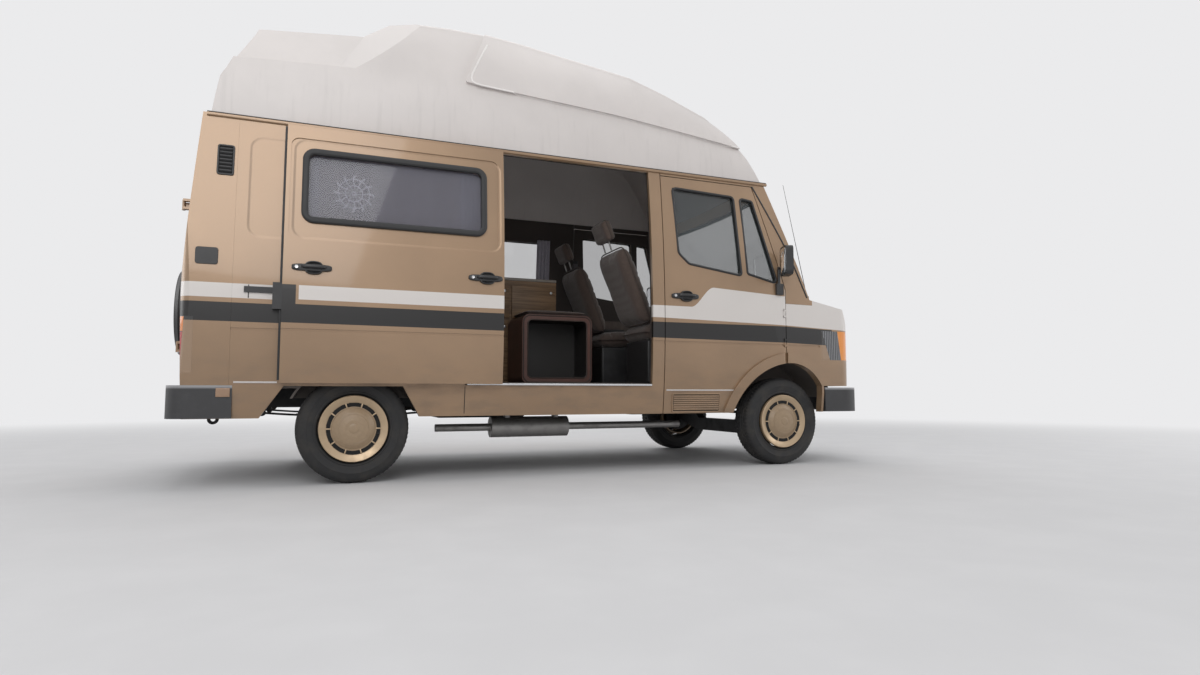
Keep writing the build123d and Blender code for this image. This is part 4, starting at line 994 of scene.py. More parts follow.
def lathe(profile: Sequence[Sequence[float]], sides: int = 64, axis: str = "Y",
          closed: bool = False) -> Surface:
    """A profile of radius and height turned about an axis: (r cos a, h, r sin a) for Y.

    Args:
        profile: rows of radius and height.
        sides: runs round the axis.
        axis: X, Y or Z.
        closed: whether the profile's last row joins its first.

    Returns:
        The surface of revolution.
    """
    rh = np.asarray(profile, float)
    angle = np.arange(sides) * TURN / sides
    ring = np.stack([np.cos(angle), np.sin(angle)], 1)
    round_part = rh[:, None, 0, None] * ring[None]
    height = np.broadcast_to(rh[:, None, 1, None], round_part.shape[:2] + (1,))
    order = {"Y": (0, 2, 1), "Z": (0, 1, 2), "X": (2, 0, 1)}[axis]
    points = np.concatenate([round_part, height], 2)[..., order]
    faces = grid_faces(len(rh), sides, closed, True)
    if axis == "Y":
        faces = faces[:, ::-1]
    return Surface(points.reshape(-1, 3), [faces])


def block(size: Sequence[float], centre: Sequence[float], radius: float = 0.004,
          steps: int = 3) -> Surface:
    """A box with rounded edges: outlines stacked along z, drawn in by a quarter circle at both ends.

    Args:
        size: lengths along x, y and z.
        centre: its middle.
        radius: rounding of every edge.
        steps: runs in a rounding.

    Returns:
        The closed surface.
    """
    wide, deep, tall = size
    angle = np.linspace(0, np.pi / 2, steps + 1)
    inset = np.concatenate([radius * (1 - np.sin(angle)), radius * (1 - np.cos(angle))])
    height = tall / 2 - np.concatenate([radius * (1 - np.cos(angle)), radius * (1 - np.sin(angle))])
    height[:steps + 1] *= -1
    rings = []
    for cut, z in zip(inset, height):
        flat = box_profile(wide - 2 * cut, deep - 2 * cut, max(radius * 1.05 - cut, 1e-5), steps)
        rings.append(np.insert(flat, 2, z, axis=1))
    return stacked(rings).moved(*centre)


# Sub-assemblies
@dataclass(frozen=True)
class Skin:
    """The van's outer skin, for placing trim on it; stations count from the rear axle.

    The open sliding door lies slide_out outside the skin and slide_travel back. The front face bows with
    the radius front_bow plus its reach; front_rows hold height and reach in the middle. The windscreen
    faces screen_out.
    """

    rear_axle: float
    slide_out: float = 0.063
    slide_travel: float = 1.060
    front_bow: float = 2.5
    front_rows: tuple = ((0.39, 3.70), (0.80, 3.73), (1.062, 3.722), (1.182, 3.675), (1.24, 3.355),
                         (2.12, 2.977))
    screen_out: tuple = (0.9, 0.0, 0.42)

    def half(self, z: Any) -> Array:
        """Half width at a height: 0.942 + 0.045 t + 0.056 t(1 - t) up to the waist, and
        0.987 - 0.072 t + 0.056 t(1 - t) above it, with t from 0 to 1 in each part."""
        z = np.asarray(z, float)
        low, high = np.clip((z - 0.39) / 0.73, 0, 1), np.clip(z - 1.12, 0, 1)
        below = 0.942 + 0.045 * low + 0.056 * low * (1 - low)
        above = 0.987 - 0.072 * high + 0.056 * high * (1 - high)
        return np.where(z < 1.12, below, above)

    def on_side(self, outline: Array, side: Side, out: float = 0.0) -> Array:
        """Outline of stations and heights laid on the skin.

        Args:
            outline: stations and heights, n by 2.
            side: which side of the van.
            out: distance outward from the skin.

        Returns:
            The points, n by 3, in the row frame.
        """
        station, z = np.asarray(outline, float).T
        taper = 0.990 - np.maximum(station - 2.9, 0) * 0.0634
        y = np.minimum(self.half(z), taper) + out
        return np.stack([station + self.rear_axle, side.value * y, z], 1)

    def on_open_door(self, outline: Array) -> Array:
        """Outline, in stations of the shut sliding door, laid on the open one."""
        return self.on_side(outline, Side.RIGHT, self.slide_out) - [self.slide_travel, 0, 0]

    def on_rear(self, outline: Array) -> Array:
        """Outline of widths and heights laid on the rear face."""
        y, z = np.asarray(outline, float).T
        x = -0.92 + 0.07 * np.clip(z - 1.12, 0, None) + 0.03 * np.clip((1.12 - z) / 0.73, 0, 1)
        return np.stack([x + self.rear_axle, y, z], 1)

    def on_front(self, outline: Array) -> Array:
        """Outline of widths and heights laid on the bowed front face."""
        y, z = np.asarray(outline, float).T
        reach = np.interp(z, *np.array(self.front_rows).T) + self.front_bow
        return np.stack([np.sqrt(reach ** 2 - y ** 2) - self.front_bow + self.rear_axle, y, z], 1)


@dataclass
class Van:
    """What every sub-assembly needs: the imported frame, the skin and the finishes."""

    frame: dict
    skin: Skin
    finish: Palette
    net: Finish = field(init=False)
    trees: dict = field(default_factory=dict)

    def __post_init__(self) -> None:
        """Set the net curtain's rosette left of the middle of the sliding door's window."""
        self.net = Lace("net_curtain_lace", (0.56, 0.55, 0.62), 0.9, (self.skin.rear_axle - 0.037, 1.712))

    def tree(self, node: str) -> BVHTree:
        """A node's faces, ready for ray casts, made once."""
        if node not in self.trees:
            mesh = self.frame["nodes"][node].data
            faces = [face.vertices for face in mesh.polygons]
            self.trees[node] = BVHTree.FromPolygons(mesh_points(mesh).tolist(), faces)
        return self.trees[node]

    def onto(self, nodes: Sequence[str], points: Sequence, direction: Sequence[float],
             lift: float = 0.0) -> Array:
        """Points pushed along a direction until they meet one of the nodes.

        Args:
            nodes: names of CAD nodes.
            points: starting points, n by 3.
            direction: unit direction of travel.
            lift: distance kept off the surface, back along the direction.

        Returns:
            The nearest meeting points, n by 3; a point that meets nothing takes the last one's travel.
        """
        way = Vector(direction)
        travel: list[float] = []
        for point in points:
            hits = [self.tree(name).ray_cast(Vector(point), way)[3] for name in nodes]
            found = [hit for hit in hits if hit is not None]
            travel.append(min(found) if found else (travel[-1] if travel else 0.0))
        return np.asarray(points, float) + np.outer(np.array(travel) - lift, direction)

    def spot(self, node: str, point: Sequence[float], direction: Sequence[float]) -> Array:
        """The place where one point meets one node."""
        return self.onto((node,), [point], direction)[0]

    def inward(self, nodes: Sequence[str], line: Array, side: Side) -> Array:
        """Stations and heights pushed onto nodes from outside, straight across the van."""
        start = np.insert(np.asarray(line, float), 1, side.value * 1.4, axis=1)
        return self.onto(nodes, start + [self.skin.rear_axle, 0, 0], -side.outward)

    def paint(self, finish: Finish, nodes: Sequence[str]) -> None:
        """Give CAD nodes a finish."""
        for name in nodes:
            mesh = self.frame["nodes"][name].data
            mesh.materials.clear()
            mesh.materials.append(finish.material())
            log.info("%s: %s", name, finish.name)

    def box(self, node: str) -> tuple[Array, Array]:
        """A node's lowest and highest corner."""
        low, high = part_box(node)
        return np.array(low), np.array(high)

    def middle(self, node: str) -> Array:
        """The middle of a node's box."""
        return sum(self.box(node)) / 2


@dataclass
class Studio:
    """Camera, floor, lamps and background."""

    eye: tuple = (-1.576, -5.386, 0.533)
    lens: float = 21.38
    pitch: float = 4.44
    yaw: float = 21.98
    backdrop: Colour = (0.83, 0.83, 0.84)
    world_light: float = 0.36
    aim: tuple = (0.0, 0.0, 1.2)
    floor_size: float = 26.0
    lamps: tuple = (("key", (-3.2, -7.5, 5.5), 6.0, 300.0), ("front", (8.5, -3.0, 4.5), 5.0, 200.0),
                    ("far", (1.0, 8.5, 5.5), 6.0, 240.0), ("rear", (-9.0, 1.5, 4.0), 5.0, 150.0),
                    ("top", (0.0, 0.0, 8.5), 7.0, 190.0))

    def camera(self) -> None:
        """Set the camera at the photograph's viewing angle."""
        data = bpy.data.cameras.new("view")
        data.lens = self.lens
        data.sensor_width = 36.0
        data.clip_end = 200.0
        made = bpy.data.objects.new("view", data)
        made.location = self.eye
        made.rotation_euler = Euler(np.radians([90 + self.pitch, 0.0, -self.yaw]).tolist())
        bpy.context.scene.collection.objects.link(made)
        bpy.context.scene.camera = made

    def lights(self) -> None:
        """Large soft area lamps that look at the van's middle."""
        for name, place, size, power in self.lamps:
            data = bpy.data.lights.new(name, "AREA")
            data.shape = "SQUARE"
            data.size = size
            data.energy = power
            made = bpy.data.objects.new(name, data)
            made.location = place
            toward = Vector(self.aim) - Vector(place)
            made.rotation_euler = toward.to_track_quat("-Z", "Y").to_euler()
            bpy.context.scene.collection.objects.link(made)

    def world(self) -> None:
        """A pale world that camera, gloss and glass see at full strength, and a softer one for light."""
        world = bpy.data.worlds.new("studio")
        world.use_nodes = True
        bpy.context.scene.world = world
        tree = Tree(world.node_tree)
        path = tree.node("ShaderNodeLightPath")
        camera, gloss, through = (Flow(tree, path.outputs[f"Is {ray} Ray"])
                                  for ray in ("Camera", "Glossy", "Transmission"))
        strength = camera.most(gloss).most(through) * (1 - self.world_light) + self.world_light
        light = tree.node("ShaderNodeBackground", {}, {0: self.backdrop, 1: strength})
        tree.node("ShaderNodeOutputWorld", {}, {"Surface": light.outputs[0]})

    def floor(self) -> None:
        """A round pale floor whose rim fades into the background."""
        rings = np.concatenate([[0.0], np.geomspace(0.5, self.floor_size, 24)])
        mesh = lathe(np.stack([rings, np.zeros(25)], 1), 96, "Z").flipped().mesh("floor")
        made = bpy.data.objects.new("floor", mesh)
        bpy.context.scene.collection.objects.link(made)
        sheet = Sheet("floor_paper")
        x, y, _ = sheet.place()
        far = (x * x + y * y).op("SQRT").ramp(self.floor_size * 0.16, self.floor_size * 0.46)
        speck = sheet.grain(3.0, 3.0)
        sheet.set(Base_Color=sheet.tint(speck.ramp(0.3, 0.8), (0.66, 0.66, 0.67), (0.69, 0.69, 0.70)),
                  Roughness=speck * 0.1 + 0.75)
        glow = sheet.node("ShaderNodeEmission", {}, {0: self.backdrop, 1: 1.0})
        mix = sheet.node("ShaderNodeMixShader", {}, {0: far, 1: sheet.shader.outputs[0], 2: glow.outputs[0]})
        sheet.feed(sheet.output.inputs["Surface"], mix.outputs[0])
        mesh.materials.append(sheet.material)

    def build(self) -> None:
        """Set up the whole studio, shown without a film look."""
        bpy.context.scene.view_settings.view_transform = "Standard"
        self.camera()
        self.lights()
        self.world()
        self.floor()
        log.info("studio ready")


@dataclass
class Assembly:
    """A part of the van's looks, placed by its frame and its skin."""

    van: Van

    @property
    def finish(self) -> Palette:
        """The van's finishes."""
        return self.van.finish

    @property
    def axle(self) -> float:
        """Station of the rear axle in the row frame."""
        return self.van.skin.rear_axle


@dataclass
class Tyre(Assembly):
    """A road tyre with ribs, cross grooves and ringed sidewalls, about its own middle.

    Each row of its wall holds radius and offset, from the bead to the shoulder.
    """

    place: str
    radius: float = 0.322
    half_tread: float = 0.068
    sides: int = 216
    groove_depth: float = 0.008
    rib_edges: tuple = (-0.56, -0.19, 0.19, 0.56)
    pitch: float = 72.0
    wall: tuple = ((0.196, 0.066), (0.204, 0.074), (0.209, 0.0845), (0.216, 0.0870), (0.222, 0.0840),
                   (0.240, 0.0895), (0.258, 0.0915), (0.262, 0.0935), (0.267, 0.0915), (0.285, 0.0900),
                   (0.299, 0.0850), (0.309, 0.0780), (0.316, 0.0710))

    def profile(self) -> tuple[Array, Array]:
        """Section from inner bead over the tread to outer bead: radius and offset rows."""
        radius, offset = np.array(self.wall).T
        across = np.linspace(-self.half_tread, self.half_tread, 57)
        crown = self.radius - 0.004 * (across / self.half_tread) ** 4
        return (np.concatenate([radius, crown[::-1], radius[::-1]]),
                np.concatenate([offset, across[::-1], -offset[::-1]]))

    def surface(self) -> Surface:
        """Points at radius r(s) less the grooves' depth, turned about the wheel's axis.

        Rib grooves are narrow dips at four widths. Cross grooves are dips of a wave round the tyre that is
        shifted along the width, so they run in a zigzag; they fade out on the middle rib.
        """
        radius, offset = self.profile()
        angle = (np.arange(self.sides) * TURN / self.sides)[:, None]
        across = offset / self.half_tread
        on_tread = np.clip((radius - 0.311) / 0.004, 0, 1)
        ribs = sum(np.exp(-((across - edge) / 0.045) ** 4) for edge in self.rib_edges)
        cross = np.clip((np.cos(self.pitch * angle + 2.2 * across) - 0.55) / 0.3, 0, 1)
        cross = cross * np.clip((abs(across) - 0.2) / 0.05, 0, 1)
        reach = radius - np.clip(np.maximum(ribs, cross * 0.8), 0, 1) * on_tread * self.groove_depth
        points = np.stack([reach * np.cos(angle), np.broadcast_to(offset, reach.shape),
                           reach * np.sin(angle)], 2)
        return Surface(points.reshape(-1, 3), [grid_faces(self.sides, len(radius), True, True)])

    def build(self) -> None:
        """Make the tyre in the node's place."""
        node = "tyre_" + self.place
        surface = self.surface().moved(*self.van.middle(node))
        piece = show(node + "_tread", surface, self.finish.tyre, "road_wheel_" + self.place, 38)
        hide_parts(node)


@dataclass
class Seal(Assembly):
    """A rubber frame round a pane: a flat bead carried along a closed outline."""

    wide: float
    proud: float

    def section(self) -> Array:
        """The bead's section, rounded on its outer face: width across, height outward."""
        half, top = self.wide / 2, self.proud
        return rounded([(-half, -0.012), (half, -0.012), (half, top * 0.6), (half * 0.45, top),
                        (-half * 0.45, top), (-half, top * 0.6)],
                       [0.001, 0.001, 0.003, 0.003, 0.003, 0.003], 3)

    def along(self, name: str, path: Array, outward: Sequence[float], body: str = "van_body") -> None:
        """Carry the bead along a closed path that faces outward."""
        show(name, carry(self.section(), path, outward, True), self.finish.rubber, body, 50)


@dataclass
class Windows(Assembly):
    """Seals of every window; frames hold both bounds each way, panes their corners."""

    side_frame: tuple = (0.756, 1.798, 1.523, 1.934)
    main_pane: tuple = ((2.117, 2.000), (2.627, 1.982), (2.662, 1.388), (2.226, 1.448), (2.145, 1.520))
    quarter_pane: tuple = ((2.682, 1.978), (2.788, 1.965), (2.972, 1.347), (2.714, 1.405))
    rear_frame: tuple = (0.113, 0.684, 1.420, 1.960)
    screen: tuple = ((-0.810, 1.296), (0.810, 1.296), (0.745, 2.040), (-0.745, 2.040))

    def sides(self) -> None:
        """Thick frames of the sliding door's window and of the fixed one opposite."""
        seal, skin, outline = Seal(self.van, 0.036, 0.012), self.van.skin, area(*self.side_frame, 0.05)
        seal.along("side_door_window_seal", skin.on_open_door(outline), Side.RIGHT.outward)
        seal.along("left_window_seal", skin.on_side(outline, Side.LEFT)[::-1], Side.LEFT.outward)

    def cab(self) -> None:
        """Thin frames of the cab doors' panes."""
        seal = Seal(self.van, 0.016, 0.006)
        for side in Side:
            body = "door_" + side.label
            for name, corners, radius in (("main", self.main_pane, (0.03, 0.03, 0.02, 0.05, 0.05)),
                                          ("quarter", self.quarter_pane, 0.022)):
                path = self.van.skin.on_side(rounded(corners, radius, 6), side)[::side.value]
                seal.along(f"{body}_{name}_seal", path, side.outward, body)

    def ends(self) -> None:
        """Frames of the rear doors' windows, and the windscreen's on the leaning bowed surface."""
        seal, skin, outline = Seal(self.van, 0.030, 0.010), self.van.skin, area(*self.rear_frame, 0.05)
        for side in Side:
            path = skin.on_rear(outline * [side.value, 1])[::-side.value]
            seal.along("rear_window_seal_" + side.label, path, (-1, 0, 0), "tail_door_" + side.label)
        path = skin.on_front(between(rounded(self.screen, 0.07), 5))
        Seal(self.van, 0.034, 0.010).along("windscreen_seal", path, skin.screen_out)

    def build(self) -> None:
        """Make every seal."""
        self.sides()
        self.cab()
        self.ends()


@dataclass
class PullHandle(Assembly):
    """A black door handle: a long base with a lock, an oval cup and a bail over it.

    Rows of base and dish hold a scale and a distance out, those of the lock a radius and a distance in.
    """

    name: str
    body: str
    length: float = 0.214
    height: float = 0.040
    cup: tuple = (0.100, 0.078)
    cup_at: float = 0.010
    depth: float = 0.020
    tilt: float = -2.0
    base_rows: tuple = ((1, -0.004), (1, 0.008), (0.97, 0.012), (0.9, 0.014))
    dish_rows: tuple = ((1, -0.004), (1, 0.010), (0.96, 0.016), (0.86, 0.017), (0.80, 0.012), (0.6, 0.006))
    lock_rows: tuple = ((0.0001, 0.0), (0.011, 0.0), (0.011, -0.016), (0.009, -0.019), (0.004, -0.0185),
                        (0.0001, -0.0182))

    def pad(self, outline: Array, rows: Sequence[Sequence[float]]) -> Surface:
        """Outline stacked outward, by rows of scale and distance."""
        return stacked([np.insert(outline * scale, 1, -out, axis=1) for scale, out in rows])

    def build(self, at: Sequence[float], side: Side) -> None:
        """Make the handle with its middle at a point on this side's skin."""
        base = self.pad(oval(self.length, self.height, 0.5), self.base_rows)
        dish = self.pad(oval(*self.cup, 1 / 1.3), self.dish_rows).moved(self.cup_at)
        turn = np.linspace(0, np.pi, 17)
        path = np.stack([self.cup_at - 0.062 * np.cos(turn), -0.012 - self.depth * np.sin(turn) ** 0.6,
                         np.full(17, 0.004)], 1)
        bail = carry(box_profile(0.016, 0.011, 0.004), path, (0, -1, 0))
        lock = lathe(self.lock_rows, 20).moved(-self.length * 0.38)
        for suffix, surface, finish in (("", base + dish + bail, self.finish.plastic),
                                        ("_lock", lock, self.finish.steel)):
            placed = surface.turned("X", self.tilt).drawn(side, Side.RIGHT)
            show(self.name + suffix, placed.moved(*at), finish, self.body)


@dataclass
class SideTrim(Assembly):
    """Trim along both sides: gutters, handles, door edge, beads, seams, vents, flaps and the threshold.

    Vents and flaps hold first and last station, lowest and highest point.
    """

    slide_handles: tuple = ((0.805, "rear"), (1.807, "front"))
    handle_z: float = 1.243
    cab_handle: tuple = (2.186, 1.212)
    louvre: tuple = (2.096, 2.474, 0.400, 0.526)
    blades: int = 7
    blade: tuple = ((-0.0065, 0.0), (0.0035, -0.001), (0.0065, 0.0015), (0.0, 0.0065), (-0.0065, 0.004))
    rear_vent: tuple = (-0.762, -0.684, 1.760, 1.930)
    rear_flap: tuple = (-0.850, -0.738, 1.240, 1.335)
    fuel_flap: tuple = (-0.40, -0.22, 0.72, 0.87)
    threshold: tuple = (0.655, 1.925)
    tread: tuple = (-0.984, -0.944, 0.5815, 0.5905)
    ribs: float = 0.0022

    def strip(self, name: str, ends: Sequence[Sequence[float]], count: int, side: Side, finish: Finish,
              size: Sequence[float], body: str = "van_body", out: float = 0.0) -> None:
        """A thin strip along a line of the skin.

        Args:
            name: the piece's name.
            ends: station and height of both ends.
            count: points along it.
            side: side of the van.
            finish: its finish.
            size: its width, and how far it stands out.
            body: the body it rides on.
            out: distance of the surface it lies on from the skin.
        """
        wide, proud = size
        path = self.van.skin.on_side(np.linspace(*ends, count), side, out)
        profile = box_profile(wide, proud * 2, min(size) * 0.4, 2)
        show(name, carry(profile, path, side.outward), finish, body)

    def lines(self) -> None:
        """A dark strip as a painted shadow by the open door's rear edge, and its rail's joint, then the
        gutters with a dark joint above them.
        """
        finish = self.finish
        # Dark rubber strip on the wall by the open door's rear edge: a painted shadow line.
        self.strip("slide_edge_seal", ((-0.412, 0.605), (-0.412, 2.075)), 40, Side.RIGHT, finish.rubber,
                   (0.016, 0.010), out=0.040)
        self.strip("rail_cover_joint", ((-0.580, 1.062), (-0.580, 1.137)), 6, Side.RIGHT, finish.recess,
                   (0.005, 0.0015))
        for side in Side:
            for name, z, size, look in (("gutter", 2.110, (0.020, 0.012), finish.body_plain),
                                        ("roof_joint", 2.124, (0.007, 0.006), finish.rubber)):
                self.strip(f"{name}_{side.label}", ((-0.83, z), (2.93, z)), 24, side, look, size)

    def doors(self) -> None:
        """Handles of the sliding door and of the cab doors."""
        skin = self.van.skin
        for station, place in self.slide_handles:
            point = skin.on_open_door([(station, self.handle_z)])[0]
            PullHandle(self.van, "slide_handle_" + place, "van_body").build(point, Side.RIGHT)
        for side in Side:
            body = "door_" + side.label
            PullHandle(self.van, body + "_handle", body).build(skin.on_side([self.cab_handle], side)[0], side)

    def raised(self, outline: Array, side: Side, rows: Sequence[Sequence[float]]) -> Surface:
        """Outline stacked outward on a side, by rows of scale about its middle and distance."""
        middle = outline.mean(0)
        return stacked([self.van.skin.on_side(middle + (outline - middle) * scale, side, out)
                        for scale, out in rows]).facing(side)

    def vent(self, name: str, bounds: Sequence[float], side: Side, body: str, finish: Finish) -> None:
        """A frame with louvre blades before a dark back that is painted shade: each blade leans out at its
        lower edge.
        """
        x0, x1, z0, z1 = bounds
        skin, outline = self.van.skin, area(*bounds, 0.008, 3)
        # The dark back is painted shade of the opening behind the blades.
        show(name + "_back", self.raised(outline, side, ((1, -0.003), (1, 0.001))), self.finish.recess, body)
        made = [carry(box_profile(0.010, 0.014, 0.003, 2), skin.on_side(outline, side)[::side.value],
                      side.outward, True)]
        for z in z0 + 0.010 + (z1 - z0 - 0.02) / self.blades * (np.arange(self.blades) + 0.5):
            path = skin.on_side([(x0 + 0.008, z), (x1 - 0.008, z)], side, 0.002)
            made.append(carry(np.array(self.blade), path, side.outward))
        show(name, total(made), finish, body, 30)

    def flap(self, name: str, bounds: Sequence[float], side: Side, finish: Finish, proud: float) -> None:
        """A flap or cover plate with rounded corners that follows the skin and stands proud of it."""
        rows = ((1.0, -0.003), (1.0, proud * 0.7), (0.97, proud), (0.5, proud), (0.02, proud))
        show(name, self.raised(area(*bounds, 0.014, 5), side, rows), finish, smooth=35)

    def threshold_plate(self) -> None:
        """Bright ribbed tread plate in the side doorway: its height follows the upper half of a wave."""
        y0, y1, low, high = self.tread
        height = high + self.ribs * np.clip(np.sin(np.linspace(0, 12 * TURN, 33)), 0, 1)
        profile = np.concatenate([np.stack([np.linspace(y0, y1, 33), height], 1), [(y1, low), (y0, low)]])
        path = np.array([(station + self.axle, 0, 0) for station in self.threshold])
        show("door_threshold", carry(profile * [-1, 1], path, (0, 0, 1)), self.finish.steel, smooth=30)

    def low_lines(self) -> None:
        """Seam in each sill, and pale bead along the lower edge of the rear wall and of the doors."""
        for side in Side:
            self.strip("sill_seam_" + side.label, ((0.645, 0.405), (0.645, 0.572)), 8, side,
                       self.finish.recess, (0.004, 0.0012))
        for name, start, end, z, body in (("rear", -0.64, -0.42, 0.592, "van_body"),
                                          ("cab", 2.045, 2.632, 0.552, "door_{}")):
            for side in Side:
                self.strip(f"{name}_bead_{side.label}", ((start, z), (end, z)), 10, side, self.finish.pale,
                           (0.010, 0.004), body.format(side.label))

    def build(self) -> None:
        """Make all side trim."""
        self.lines()
        self.doors()
        finish = self.finish
        for side in Side:
            self.vent("door_louvre_" + side.label, self.louvre, side, "door_" + side.label, finish.body_plain)
            self.vent("rear_vent_" + side.label, self.rear_vent, side, "van_body", finish.plastic)
        self.flap("service_flap", self.rear_flap, Side.RIGHT, finish.plastic, 0.006)
        self.flap("fuel_flap", self.fuel_flap, Side.LEFT, finish.body_plain, 0.003)
        self.threshold_plate()
        self.low_lines()


@dataclass
class Mirrors(Assembly):
    """Panes of the door mirrors, and the whip aerial; rows of the bevel hold a scale and a distance."""

    turn: float = 20.0
    pane: tuple = (0.134, 0.188, 0.026)
    back: float = 0.0265
    bevel: tuple = ((1.0, 0.0), (1.0, 0.003), (0.96, 0.0045), (0.5, 0.0048), (0.02, 0.0050))
    head: tuple = (2.975, 1.095, 1.500)
    foot: tuple = (3.318, -0.893)
    tip: tuple = (3.105, -0.893, 2.140)

    def glass(self) -> None:
        """A silvered pane with a bevelled rim on the rear face of each mirror head."""
        outline = box_profile(*self.pane, 5)
        rings = [np.insert(outline * scale, 0, -self.back - out, axis=1) for scale, out in self.bevel]
        pane = stacked(rings).flipped().turned("Z", -self.turn)
        x, y, z = self.head
        for side in Side:
            placed = pane.drawn(side, Side.RIGHT).moved(x + self.axle, side.value * y, z)
            show("mirror_glass_" + side.label, placed, self.finish.mirror, "door_" + side.label, 30)

    def aerial(self) -> None:
        """Thin whip on a small turned foot: its radius shrinks in a straight line."""
        start = self.van.spot("front_wings", (self.foot[0] + self.axle, self.foot[1], 2.0), (0, 0, -1))
        end = np.array(self.tip) + [self.axle, 0, 0]
        t = np.linspace(0, 1, 12)
        whip = carry(circle(0.0028, 8), start + t[:, None] * (end - start), (0, 1, 0), scale=1.0 - 0.55 * t)
        foot = lathe([(0.0001, -0.02), (0.022, -0.02), (0.022, 0.0), (0.018, 0.010), (0.009, 0.016),
                      (0.007, 0.045), (0.0001, 0.047)], 24, "Z").moved(*start)
        show("aerial", whip, self.finish.black_steel, smooth=60)
        show("aerial_foot", foot, self.finish.rubber, smooth=35)

    def build(self) -> None:
        """Make the mirror panes and the aerial."""
        self.glass()
        self.aerial()


@dataclass
class WheelCover(Assembly):
    """Trim of one wheel cover: bright outer ring, dark slotted band with thin spokes, beads and valve. The
    band
    is near black: painted shade seen through the slots.

    Rows hold a radius and a distance out from the wheel's middle.
    """

    place: str
    side: Side
    spokes: int = 10
    band: tuple = (0.1285, 0.1525)
    ring_rows: tuple = ((0.1550, 0.0860), (0.1550, 0.0885), (0.1580, 0.0905), (0.1880, 0.0995),
                        (0.1925, 0.1005), (0.1945, 0.0995), (0.1948, 0.0975), (0.1900, 0.0950))
    cap_rows: tuple = ((0.0001, 0.1135), (0.0180, 0.1128), (0.0270, 0.1118), (0.0300, 0.1098),
                       (0.0001, 0.1095))

    def spoke(self, index: int) -> Surface:
        """A thin bar across the band, turned to its place midway between two slots."""
        inner, outer = self.band
        bar = block((0.0075, 0.004, outer - inner + 0.004), (0, 0.0885, (inner + outer) / 2), 0.0012, 2)
        return bar.turned("Y", 360 / self.spokes * (index + 0.5))

    def bead(self, radius: float, height: float, wide: float, tall: float) -> Surface:
        """A rounded bead turned about the axis, at a radius and a height."""
        rows = np.array([(1, 0), (0.7, 0.7), (0, 1), (-0.7, 0.7), (-1, 0), (0, -1)])
        return lathe(rows * [wide, tall] + [radius, height], 80, closed=True)

    def build(self) -> None:
        """Make the trim in the row frame: the wheel's own axis is y, outward is positive."""
        inner, outer = self.band
        # Near-black band: painted shade behind the slots.
        band = lathe([(inner, 0.0860), (inner, 0.0872), (outer, 0.0872), (outer, 0.0860)], 80, closed=True)
        trim = total([lathe(self.ring_rows, 96, closed=True), *map(self.spoke, range(self.spokes))])
        beads = (self.bead(0.0860, 0.1048, 0.0020, 0.0016) + self.bead(inner - 0.002, 0.0875, 0.0035, 0.0025)
                 + lathe(self.cap_rows, 40))
        valve = rod((0.139, 0.080, 0.0), (0.144, 0.101, 0.0), 0.0042, 10).turned("Y", 12)
        finish = self.finish
        for part, surface, look in (("band", band, finish.recess), ("trim", trim, finish.ring),
                                    ("beads", beads, finish.cover), ("valve", valve, finish.rubber)):
            placed = surface.drawn(self.side).moved(*self.van.middle("tyre_" + self.place))
            show(f"cover_{part}_{self.place}", placed, look, "road_wheel_" + self.place, 35)


